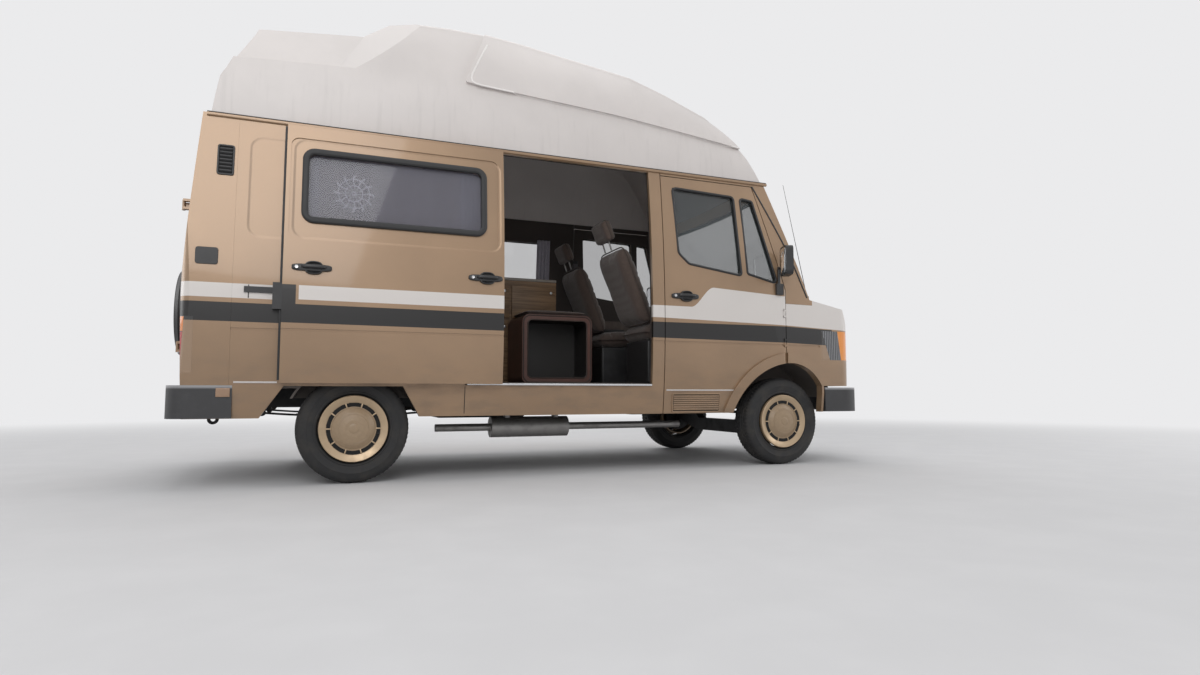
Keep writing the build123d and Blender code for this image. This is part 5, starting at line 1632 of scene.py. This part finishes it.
@dataclass
class Pad:
    """A stuffed cushion: a crowned closed form, blown out a little by a cloth simulation, then sewn.

    It lies flat about the origin, its length along x and its face up.
    """

    size: tuple
    crown: float = 0.018
    channels: int = 0
    swell: float = 0.010
    channel_depth: float = 0.008
    voxel: float = 0.009
    rows: int = 40

    def draft(self) -> Surface:
        """Two sheets over the unit square joined at a seam.

        With u and v from -1 to 1, x = u L/2 and y = v W/2, both drawn in at the corners by 1 - 0.07 u^4 v^4
        and between the corners by 1 - 0.02 (1 - v^2) or (1 - u^2). The half thickness is
        T/2 ((1 - |u|^7)(1 - |v|^7))^0.4, and the crown (1 - u^2)(1 - v^2) is added above.
        """
        long, wide, thick = self.size
        t = np.sin(np.linspace(-np.pi / 2, np.pi / 2, self.rows))
        u, v = np.meshgrid(t, t, indexing="ij")
        corner = 1 - 0.07 * u ** 4 * v ** 4
        x = u * long / 2 * corner * (1 - 0.02 * (1 - v ** 2) * u ** 2)
        y = v * wide / 2 * corner * (1 - 0.02 * (1 - u ** 2) * v ** 2)
        body = ((1 - abs(u) ** 7) * (1 - abs(v) ** 7)) ** 0.4
        top = thick / 2 * body + self.crown * (1 - u ** 2) * (1 - v ** 2)
        n = self.rows
        inner = np.zeros((n, n), bool)
        inner[1:-1, 1:-1] = True
        below = np.arange(n * n).reshape(n, n)
        below[inner] = n * n + np.arange(inner.sum())
        points = np.concatenate([np.stack([x, y, np.where(inner, top, 0)], 2).reshape(-1, 3),
                                 np.stack([x, y, -thick / 2 * body], 2)[inner]])
        return Surface(points, [grid_faces(n, n)[:, ::-1], below.ravel()[grid_faces(n, n)]])

    def stuffed(self) -> Surface:
        """The draft after remeshing and 20 steps of cloth under pressure, each move capped at the swell."""
        draft = self.draft()
        if not self.swell:
            return draft
        scene = bpy.context.scene
        trial = bpy.data.objects.new("pad_draft", draft.mesh("pad_draft"))
        scene.collection.objects.link(trial)
        remesh = trial.modifiers.new("remesh", "REMESH")
        remesh.mode = "VOXEL"
        remesh.voxel_size = self.voxel
        trial.data = bpy.data.meshes.new_from_object(
            trial.evaluated_get(bpy.context.evaluated_depsgraph_get()))
        trial.modifiers.clear()
        start, faces = mesh_points(trial.data), mesh_corners(trial.data).reshape(-1, 4)
        cloth = trial.modifiers.new("cloth", "CLOTH")
        cloth.settings.use_pressure = True
        cloth.settings.uniform_pressure_force = 4.0
        cloth.settings.effector_weights.gravity = 0.0
        for step in range(1, 21):
            scene.frame_set(step)
        moved = trial.evaluated_get(bpy.context.evaluated_depsgraph_get())
        shift = mesh_points(moved.data) - start
        size = np.maximum(np.linalg.norm(shift, axis=1), 1e-9)
        points = start + shift * np.minimum(1.0, self.swell / size)[:, None]
        scene.frame_set(1)
        bpy.data.objects.remove(trial)
        return Surface(points, [faces])

    def surface(self) -> Surface:
        """The finished pad: the face dips by depth exp(-(d / 9 mm)^2) at distance d from a channel."""
        made = self.stuffed()
        long, wide, thick = self.size
        x, y, z = made.points.T
        places = np.linspace(-long / 2, long / 2, self.channels + 2)[1:-1]
        near = np.exp(-((x[:, None] - places) / 0.009) ** 2).sum(1)
        face = np.clip(z / (thick * 0.3), 0, 1)
        inside = np.clip((1 - abs(y) / (wide / 2)) / 0.05, 0, 1)
        return Surface(made.points - np.outer(near * face * inside * self.channel_depth, (0, 0, 1)),
                       made.faces)

    def piping(self) -> Surface:
        """A cord sewn round the seam, 1.5 % inside the pad's own rectangle."""
        long, wide, _ = self.size
        path = np.insert(oval(long * 0.985, wide * 0.985, 0.22, 120), 2, 0.0, axis=1)
        return carry(circle(0.0045, 8), path, (0, 0, 1), True)


@dataclass
class Seating(Assembly):
    """An assembly with cushions."""

    def cushion(self, name: str, pad: Surface, at: Sequence[float]) -> Any:
        """Show a pad in its place and return the piece."""
        return show(name, pad.moved(*at), self.finish.seat, smooth=70)

    def cord(self, name: str, cord: Surface, at: Sequence[float]) -> None:
        """Show the piping of a pad in its place."""
        show(name, cord.moved(*at), self.finish.piping, smooth=60)


@dataclass
class CabSeats(Seating):
    """Both cab seats: cushion, leaning back, head rest, base, stalks and levers."""

    station: float = 2.250
    across: float = 0.450
    width: float = 0.470
    lean: float = 68.1

    def stand(self, x: float, side: Side) -> None:
        """The base of a seat, its rails, the stalks of its head rest and its lever."""
        y = side.value * self.across
        base = block((0.40, self.width - 0.07, 0.325), (x + 0.005, y, 0.764), 0.018, 4)
        rods = [rod((x - 0.18, y + dy, 0.935), (x + 0.20, y + dy, 0.935), 0.009) for dy in (-0.16, 0.16)]
        rods += [rod((x - 0.425, y + dy, 1.60), (x - 0.455, y + dy, 1.69), 0.006) for dy in (-0.06, 0.06)]
        rods += [rod((x + 0.05, y - 0.205, 0.925), (x + 0.21, y - 0.205, 0.930), 0.008)]
        show("seat_base_" + side.label, base, self.finish.plastic)
        show("seat_rods_" + side.label, total(rods), self.finish.dull_steel)

    def build(self) -> None:
        """Build the pads once and place them on both sides."""
        x = self.station + self.axle
        pads = (("cushion", Pad((0.490, self.width, 0.110), 0.018, 3), -2.3, x + 0.020, 0.990),
                ("back", Pad((0.610, self.width, 0.105), 0.016, 4), self.lean, x - 0.290, 1.326),
                ("head", Pad((0.155, 0.255, 0.078), 0.010, swell=0.0), self.lean, x - 0.472, 1.742))
        for part, pad, turn, px, pz in pads:
            shape, cord = pad.surface().turned("Y", turn), pad.piping().turned("Y", turn)
            for side in Side:
                at = (px, side.value * self.across, pz)
                piece = self.cushion(f"seat_{part}_{side.label}", shape, at)
                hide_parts("cab_seats")
                self.cord(f"seat_{part}_piping_{side.label}", cord, at)
        for side in Side:
            self.stand(x, side)


@dataclass
class LivingSpace(Seating):
    """Bench cushions, cabinet fronts, worktop, sink, hob, seat edging and curtains behind the cab.

    The bench holds first and last station and top; the cupboard and the kitchen both stations, front and
    top; the seat by the doorway both stations, both sides and top; the pane both stations and heights.
    """

    bench: tuple = (-0.820, -0.250, 1.010)
    cupboard: tuple = (-0.240, 0.440, 0.330)
    kitchen: tuple = (0.480, 1.700, 0.430, 1.480)
    dinette: tuple = (1.270, 1.850, -0.040, 0.400, 1.150)
    pane: tuple = (-0.292, 0.726, 1.520, 1.940)
    slide_gap: float = 0.029
    floor: float = 0.606

    def cushions(self) -> None:
        """Two seat cushions on the rear bench, and one on the seat by the doorway."""
        x0, x1, top = self.bench
        x2, x3, y0, y1, seat_top = self.dinette
        pads = [(f"bench_cushion_{i}", Pad((x1 - x0 - 0.02, 0.50, 0.10), 0.016, swell=0.0),
                 ((x0 + x1) / 2, y, top + 0.051)) for i, y in enumerate((-0.255, 0.255))]
        pads.append(("doorway_seat_cushion", Pad((x3 - x2 - 0.06, y1 - y0 - 0.03, 0.035), 0.012, swell=0.0),
                     ((x2 + x3) / 2, (y0 + y1) / 2, seat_top + 0.017)))
        for name, pad, (x, y, z) in pads:
            at = (x + self.axle, y, z)
            piece = self.cushion(name, pad.surface(), at)
            self.cord(name + "_piping", pad.piping(), at)

    def edging(self) -> None:
        """Padded edge round the front of the seat by the doorway and round its recess."""
        x0, x1, y0, _, top = self.dinette
        for name, inset, radius in (("outer", 0.010, 0.055), ("inner", 0.044, 0.036)):
            outline = area(x0 + inset, x1 - inset, self.floor + inset, top - inset, radius)
            path = np.insert(outline, 1, y0 + 0.001, axis=1) + [self.axle, 0, 0]
            self.cord("doorway_seat_edge_" + name, carry(circle(0.0055, 10), path, (0, -1, 0), True),
                      (0, 0, 0))

    def fronts(self) -> None:
        """Cabinet doors with rounded edges and round pulls, on the kitchen and the tall cupboard."""
        x0, x1, y0, _ = self.kitchen
        c0, c1, cy = self.cupboard
        step = (x1 - x0) / 3
        doors = [(x0 + step * i + 0.010, x0 + step * (i + 1) - 0.010, low, high, y0)
                 for i in range(3) for low, high in ((0.640, 1.140), (1.160, 1.440))]
        doors += [(c0 + 0.015, c1 - 0.015, low, high, cy) for low, high in ((0.640, 1.340), (1.360, 2.020))]
        pull = lathe([(0.0001, -0.022), (0.010, -0.020), (0.012, -0.014), (0.006, -0.006), (0.007, 0.001),
                      (0.0001, 0.001)], 20)
        leaves = [block((b - a, 0.016, high - low), ((a + b) / 2, y - 0.0075, (low + high) / 2), 0.005)
                  for a, b, low, high, y in doors]
        pulls = [pull.moved(b - 0.045, y - 0.0155, high - 0.055) for _, b, _, high, y in doors]
        show("cabinet_doors", total(leaves).moved(self.axle), self.finish.wood, smooth=30)
        show("cabinet_pulls", total(pulls).moved(self.axle), self.finish.steel)

    def kitchen_top(self) -> None:
        """Worktop with a rounded edge, a round sink and two burners."""
        x0, x1, y0, top = self.kitchen
        slab = block((x1 - x0 + 0.006, 0.455, 0.024), ((x0 + x1) / 2, y0 + 0.222, top + 0.013), 0.007)
        sink = lathe([(0.0001, 0.011), (0.180, 0.012), (0.176, 0.016), (0.160, 0.018), (0.150, 0.013),
                      (0.140, 0.007), (0.0001, 0.006)], 48, "Z").moved(x0 + 0.30, y0 + 0.22, top + 0.013)
        rows = np.array([(-0.007, 0.0), (-0.005, 0.010), (0.0, 0.013), (0.005, 0.010), (0.007, 0.0)])
        rings = [lathe(rows + [r, 0], 36, "Z", True).moved(x0 + 0.72 + dx, y0 + 0.20 + dy, top + 0.024)
                 for r, dx, dy in ((0.075, 0.0, 0.07), (0.060, 0.22, -0.03), (0.025, 0.0, 0.07),
                                   (0.020, 0.22, -0.03))]
        for name, surface, finish, smooth in (("worktop", slab, self.finish.worktop, 35),
                                              ("sink", sink, self.finish.steel, 40),
                                              ("burners", total(rings), self.finish.cast, 40)):
            show(name, surface.moved(self.axle), finish, smooth=smooth)

    def curtain(self, name: str, ends: Sequence[float], side: Side, out: float, folds: int, depth: float,
                finish: Finish) -> None:
        """A curtain hung along a stretch of the side: out of the skin by out + depth sin(TURN folds t).

        Args:
            name: the piece's name.
            ends: first and last station.
            side: side of the van.
            out: middle distance from the skin, negative inside.
            folds: how many waves.
            depth: half the depth of a wave.
            finish: its cloth.
        """
        low, high = self.pane[2:]
        t, s = np.linspace(0, 1, folds * 12 + 1)[:, None], np.linspace(0, 1, 15)
        wave = depth * np.sin(TURN * folds * t) * (0.5 + 0.5 * s)
        wave += depth * 0.3 * np.sin(TURN * folds * 1.7 * t + 1.0) * s
        station = np.broadcast_to(ends[0] + (ends[1] - ends[0]) * t, wave.shape)
        height = np.broadcast_to(high + (low - high) * s, wave.shape)
        flat = self.van.skin.on_side(np.stack([station, height], 2).reshape(-1, 2), side, out)
        points = flat + side.outward * wave.reshape(-1, 1)
        grid = points.reshape(*wave.shape, 3)
        run = np.concatenate([[0.0], np.cumsum(np.linalg.norm(np.diff(grid[:, 7], axis=0), axis=1))])
        uv = np.stack([np.broadcast_to(run[:, None], wave.shape), height], 2).reshape(-1, 2)
        made = Surface(points, [grid_faces(*wave.shape)], uv).facing(side)
        piece = show(name, made, finish, smooth=70)
        solid = piece.modifiers.new("cloth_thickness", "SOLIDIFY")
        solid.thickness = 0.0008

    def curtains(self) -> None:
        """Net with a rosette and gathered cloth behind the sliding door's window; cloth opposite."""
        x0, x1 = self.pane[:2]
        cloth = self.finish.curtain
        for name, ends, side, out, folds, depth, finish in (
                ("net_curtain", (x0 - 0.02, x1 + 0.01), Side.RIGHT, self.slide_gap, 9, 0.0025, self.van.net),
                ("gathered_curtain_right", (x1 - 0.13, x1 + 0.01), Side.RIGHT, 0.014, 4, 0.007, cloth),
                ("gathered_curtain_rear", (x0 - 0.02, x0 + 0.06), Side.RIGHT, 0.014, 3, 0.007, cloth),
                ("left_curtain_rear", (0.775, 0.900), Side.LEFT, -0.085, 4, 0.012, cloth),
                ("left_curtain_front", (1.655, 1.780), Side.LEFT, -0.085, 4, 0.012, cloth)):
            self.curtain(name, ends, side, out, folds, depth, finish)

    def build(self) -> None:
        """Build the living space."""
        self.cushions()
        self.edging()
        self.fronts()
        self.kitchen_top()
        self.curtains()


@dataclass
class CabInterior(Assembly):
    """Dials and vents of the dashboard, belts, and the inner faces of the cab doors.

    A dial holds its side, height and radius; rows of the belt are points of the left one.
    """

    dials: tuple = ((0.340, 1.150, 0.042), (0.480, 1.150, 0.042))
    vents: tuple = (-0.55, -0.15, 0.15, 0.70)
    belt_rows: tuple = ((2.035, 0.868, 1.760), (2.050, 0.850, 1.560), (2.085, 0.785, 1.270),
                        (2.120, 0.715, 1.030), (2.130, 0.703, 0.935))
    card: tuple = ((2.140, 0.640), (2.545, 0.700), (2.760, 0.960), (2.800, 1.215), (2.140, 1.225))
    card_rows: tuple = ((1.0, -0.002), (1.0, 0.004), (0.985, 0.007), (0.5, 0.007), (0.01, 0.007))

    def belts(self) -> None:
        """Webbing from each door pillar to the seat's outer hip, with a turning loop and a foot."""
        path = sampled(self.belt_rows, range(len(self.belt_rows)), 25) + [self.axle, 0, 0]
        path[1:-1] = (path[:-2] + path[1:-1] * 2 + path[2:]) / 4
        strap = carry(box_profile(0.0016, 0.046, 0.0006, 2), path, (1, 0, 0.15))
        fittings = block((0.050, 0.020, 0.028), path[0], 0.006)
        fittings += block((0.040, 0.016, 0.040), path[-1], 0.005)
        for side in Side:
            show("belt_strap_" + side.label, strap.drawn(side), self.finish.belt)
            show("belt_fittings_" + side.label, fittings.drawn(side), self.finish.plastic)

    def door_cards(self) -> None:
        """Panel with a bead, arm rest, window winder and pocket inside each cab door."""
        outline = rounded(self.card, 0.035, 5)
        middle = outline.mean(0)
        for side in Side:
            start = np.insert(outline, 1, side.value * 0.5, axis=1) + [self.axle, 0, 0]
            rim = self.van.onto(("cab_door_" + side.label,), start, side.outward)
            y = (rim[:, 1] * side.value).min()
            card = stacked([np.insert(middle + (outline - middle) * scale, 1, y - depth, axis=1)
                            for scale, depth in self.card_rows])
            rest = block((0.300, 0.045, 0.038), (2.400, y - 0.027, 1.120), 0.014, 4)
            pocket = block((0.330, 0.030, 0.110), (2.370, y - 0.020, 0.790), 0.010, 3)
            tip = (2.420, y - 0.033, 0.970)
            winder = (rod((2.330, y - 0.019, 1.000), tip, 0.007) + rod(tip, (2.420, y - 0.061, 0.970), 0.010)
                      + rod((2.330, y - 0.005, 1.000), (2.330, y - 0.025, 1.000), 0.016))
            for part, surface, finish in (("card", card, self.finish.door_card),
                                          ("rest", rest + pocket, self.finish.plastic),
                                          ("winder", winder, self.finish.steel)):
                show(f"door_{part}_{side.label}", surface.drawn(side).moved(self.axle), finish,
                     "door_" + side.label)

    def dashboard(self) -> None:
        """Dark dials with bright rings, and vents of four blades each, on the dashboard's rear face."""
        parts, faces = [], []
        for y, z, r in self.dials:
            spot = self.van.spot("dashboard", (1.0, y, z), (1, 0, 0))
            ring = [(r - 0.004, -0.006), (r - 0.002, -0.010), (r, -0.008), (r + 0.001, 0.0), (r - 0.004, 0.0)]
            dial = [(0.0001, -0.003), (r - 0.003, -0.003), (r - 0.003, 0.001), (0.0001, 0.001)]
            parts.append(lathe(ring, 40, "X", True).moved(*spot))
            faces.append(lathe(dial, 40, "X").moved(*spot))
        for y in self.vents:
            spot = self.van.spot("dashboard", (1.0, y, 1.165), (1, 0, 0))
            parts += [block((0.008, 0.110, 0.005), spot + [-0.002, 0, dz], 0.0015, 2)
                      for dz in (-0.020, -0.007, 0.006, 0.019)]
        show("dash_rings", total(parts), self.finish.dull_steel)
        show("dash_dials", total(faces), self.finish.recess)

    def build(self) -> None:
        """Make belts, door cards and dashboard."""
        self.belts()
        self.door_cards()
        self.dashboard()


def number_plate(at: Sequence[float]) -> tuple[Surface, Surface]:
    """A blank number plate about a point, facing along the van, and the rim round it."""
    rim = np.insert(box_profile(0.514, 0.112, 0.010, 4), 0, 0.0, axis=1) + at
    return block((0.004, 0.510, 0.108), at, 0.0015, 2), carry(circle(0.0035, 8), rim, (1, 0, 0), True)


@dataclass
class FrontTrim(Assembly):
    """Trim of the nose: lamp bezels, blank plate, wipers and pillar rubbers.

    The lamp holds its bounds in width and height; rows of the pillar hold stations and heights.
    """

    lamp: tuple = (0.606, 0.828, 0.790, 1.003)
    pillar: tuple = ((2.800, 2.085), (2.925, 1.870), (3.047, 1.656), (3.150, 1.450), (3.250, 1.255))
    before: float = 3.0
    plate_z: float = 0.485

    def bezels(self) -> None:
        """Bright frame and round reflector ring on each headlamp."""
        y0, y1, z0, z1 = self.lamp
        lines = ((between(area(*self.lamp, 0.020, 5), 3), box_profile(0.007, 0.008, 0.002, 2)),
                 (circle(0.082, 48) + [(y0 + y1) / 2, (z0 + z1) / 2], circle(0.0035, 8)))
        for side in Side:
            beads = []
            for line, profile in lines:
                start = np.insert(line * [side.value, 1], 0, self.before, axis=1)
                path = self.van.onto(("headlamps",), start, (-1, 0, 0), 0.0012)
                beads.append(carry(profile, path, (1, 0, 0), True))
            show("headlamp_bezel_" + side.label, total(beads), self.finish.steel)

    def plate(self) -> None:
        """Blank number plate with a rounded rim on the front bumper, held by two screws."""
        ends = [(self.before, y, self.plate_z) for y in (-0.255, 0.255)]
        x = self.van.onto(("front_bumper",), np.linspace(*ends, 9), (-1, 0, 0))[:, 0].max() + 0.006
        face, rim = number_plate((x, 0.0, self.plate_z))
        screw = lathe([(0.0001, -0.001), (0.005, 0.0), (0.004, 0.002), (0.0001, 0.003)], 14, "X")
        screws = [screw.moved(x + 0.002, y, self.plate_z) for y in (-0.21, 0.21)]
        show("front_plate", face, self.finish.plate, smooth=35)
        show("front_plate_rim", total([rim] + screws), self.finish.black_steel)

    def wipers(self) -> None:
        """Two wiper arms and blades parked low on the windscreen; the arm is a quadratic curve."""
        up = self.van.skin.screen_out
        t = np.linspace(0, 1, 13)[:, None]
        parts = []
        for y in (0.46, -0.10):
            line = np.linspace((self.before, y, 1.345), (self.before, y - 0.46, 1.400), 9)
            blade = self.van.onto(("windscreen", "windscreen_frame"), line, (-1, 0, 0), 0.006)
            foot = self.van.onto(("windscreen_frame", "bonnet", "front_wings"),
                                 [(self.before, y + 0.05, 1.262)], (-1, 0, 0), 0.004)[0]
            middle = blade[4] + [0.016, 0, 0.006]
            bend = foot * 0.35 + middle * 0.65 + [0.018, 0, 0.008]
            curve = foot * (1 - t) ** 2 + bend * 2 * t * (1 - t) + middle * t ** 2
            parts.append(carry(box_profile(0.010, 0.012, 0.003, 2), blade, up))
            parts.append(carry(box_profile(0.010, 0.006, 0.002, 2), curve, up))
            parts.append(lathe([(0.0001, 0.013), (0.010, 0.012), (0.015, 0.004), (0.015, -0.012),
                                (0.0001, -0.012)], 20, "X").moved(*foot))
        show("wipers", total(parts), self.finish.black_steel)

    def pillars(self) -> None:
        """Dark rubber line down each front pillar between the door and the windscreen."""
        line = sampled(self.pillar, range(len(self.pillar)), 28)
        for side in Side:
            path = self.van.inward(("windscreen_frame", "front_wings"), line, side)
            strip = carry(box_profile(0.012, 0.008, 0.003, 2), path, side.outward)
            show("pillar_rubber_" + side.label, strip, self.finish.rubber)

    def build(self) -> None:
        """Make the front trim."""
        self.bezels()
        self.plate()
        self.wipers()
        self.pillars()


@dataclass
class RearTrim(Assembly):
    """Trim of the tail: spare wheel's piping, door handle, blank plate with its lamp, reflectors."""

    behind: float = -3.0
    handle_at: tuple = (-0.075, 1.130)
    plate_at: tuple = (-0.40, 0.80)
    reflector_at: tuple = (-0.690, 0.535)

    def spare(self) -> None:
        """Three rings of piping on the spare wheel's cover: two near its outer edges, one near the door."""
        low, high = self.van.box("spare_wheel")
        centre = (low + high) / 2
        radius = (high[2] - low[2]) / 2
        rings = [carry(circle(0.0045, 8), np.insert(circle(radius - inset, 96) + centre[1:], 0, x, axis=1),
                       (1, 0, 0), True)
                 for x, inset in ((low[0] + 0.004, 0.035), (low[0] + 0.030, 0.003), (high[0] - 0.050, 0.004))]
        show("spare_cover_piping", total(rings), self.finish.rubber, "tail_door_left", 50)

    def handle(self) -> None:
        """Lever handle with a bar on two stems, on the right rear door."""
        spot = self.van.spot("rear_door_right", (self.behind, *self.handle_at), (1, 0, 0))
        parts = [block((0.014, 0.050, 0.150), (-0.006, 0, 0), 0.005),
                 rod((-0.030, 0, 0.055), (-0.030, 0, -0.060), 0.009)]
        parts += [rod((-0.002, 0, z), (-0.032, 0, z), 0.007) for z in (-0.045, 0.045)]
        show("rear_door_handle", total(parts).moved(*spot), self.finish.plastic, "tail_door_right")

    def plate(self) -> None:
        """Blank plate under a lamp housing, on the right rear door."""
        spot = self.van.spot("rear_door_right", (self.behind, *self.plate_at), (1, 0, 0))
        face, rim = number_plate(spot - [0.006, 0, 0])
        lamp = block((0.040, 0.130, 0.028), spot + [-0.018, 0, 0.080], 0.008)
        show("rear_plate", face, self.finish.plate, "tail_door_right", 35)
        show("rear_plate_lamp", lamp + rim, self.finish.black_steel, "tail_door_right")

    def reflectors(self) -> None:
        """Small dull amber reflector on each end of the rear bumper."""
        for side in Side:
            spot = self.van.inward(("rear_bumper",), [self.reflector_at], side)[0]
            pad = block((0.070, 0.008, 0.050), spot + side.outward * 0.002, 0.0028)
            show("rear_reflector_" + side.label, pad, self.finish.reflector)

    def build(self) -> None:
        """Make the rear trim."""
        self.spare()
        self.handle()
        self.plate()
        self.reflectors()


@dataclass
class RoofTrim(Assembly):
    """Raised side panel's edge on the high roof, as stations and heights: a bead painted pale as a highlight.
    """

    edge: tuple = ((0.790, 2.860), (0.715, 2.700), (0.668, 2.588), (0.672, 2.555), (0.705, 2.537),
                   (1.671, 2.480), (2.638, 2.389), (2.800, 2.378))

    def build(self) -> None:
        """Carry a low bead along the edge, found on the roof's own surface from the side."""
        steps = np.linalg.norm(np.diff(self.edge, axis=0), axis=1)
        line = sampled(self.edge, np.concatenate([[0], np.cumsum(steps)]), 90)
        for side in Side:
            path = self.van.inward(("high_roof",), line, side)
            bead = carry(box_profile(0.012, 0.007, 0.0028, 3), path, side.outward + [0, 0, 0.3])
            # The bead's paler finish is a painted highlight along the panel's edge.
            show("roof_panel_edge_" + side.label, bead, self.finish.roof_edge, smooth=50)


def dress_frame(van: Van) -> None:
    """Give every CAD node that stays in view its finish."""
    finish = van.finish
    for look, nodes in (
            (finish.body, "sliding_door side_wall_left side_wall_right cab_door_left cab_door_right "
                          "front_wings rear_frame"),
            (finish.body_plain, "front_panel bonnet windscreen_frame rear_door_left rear_door_right"),
            (finish.roof, "high_roof"),
            (finish.cover, "wheel_front_left wheel_front_right wheel_rear_left wheel_rear_right"),
            (finish.plastic, "grille mirror_left mirror_right dashboard steering_wheel sliding_door_rail"),
            (finish.bumper, "front_bumper rear_bumper"),
            (finish.lens_clear, "headlamps"),
            (finish.corner_lamp, "indicators"),
            (finish.tail_lamp, "tail_lamps"),
            (finish.black_steel, "chassis_frame leaf_springs rear_axle front_axle knuckle_left "
                                 "knuckle_right fuel_tank"),
            (finish.cast, "engine"),
            (finish.dull_steel, "exhaust"),
            (finish.floor, "floor_pan bulkhead engine_cover"),
            (finish.wood, "cabinets"),
            (finish.seat_shell, "dinette_seat rear_bench"),
            (finish.cover_cloth, "spare_wheel"),
            (finish.glass, "rear_door_glass_left rear_door_glass_right"),
            (finish.lilac_glass, "sliding_door_glass side_window_left"),
            (finish.screen, "cab_door_glass_left cab_door_glass_right windscreen")):
        van.paint(look, nodes.split())


def main() -> None:
    """Build the van's looks round the frame, piece by piece."""
    logging.basicConfig(level=logging.INFO, format="%(message)s")
    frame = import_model()
    low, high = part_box("tyre_rear_right")
    rear_axle = (low.x + high.x) / 2
    van = Van(frame, Skin(rear_axle), Palette(rear_axle))
    Studio().build()
    dress_frame(van)
    for place in ("front", "rear"):
        for side in Side:
            name = f"{place}_{side.label}"
            Tyre(van, name).build()
            WheelCover(van, name, side).build()
    for assembly in (Windows, SideTrim, Mirrors, CabSeats, LivingSpace, CabInterior, FrontTrim, RearTrim,
                     RoofTrim):
        assembly(van).build()


if __name__ == "__main__":
    main()
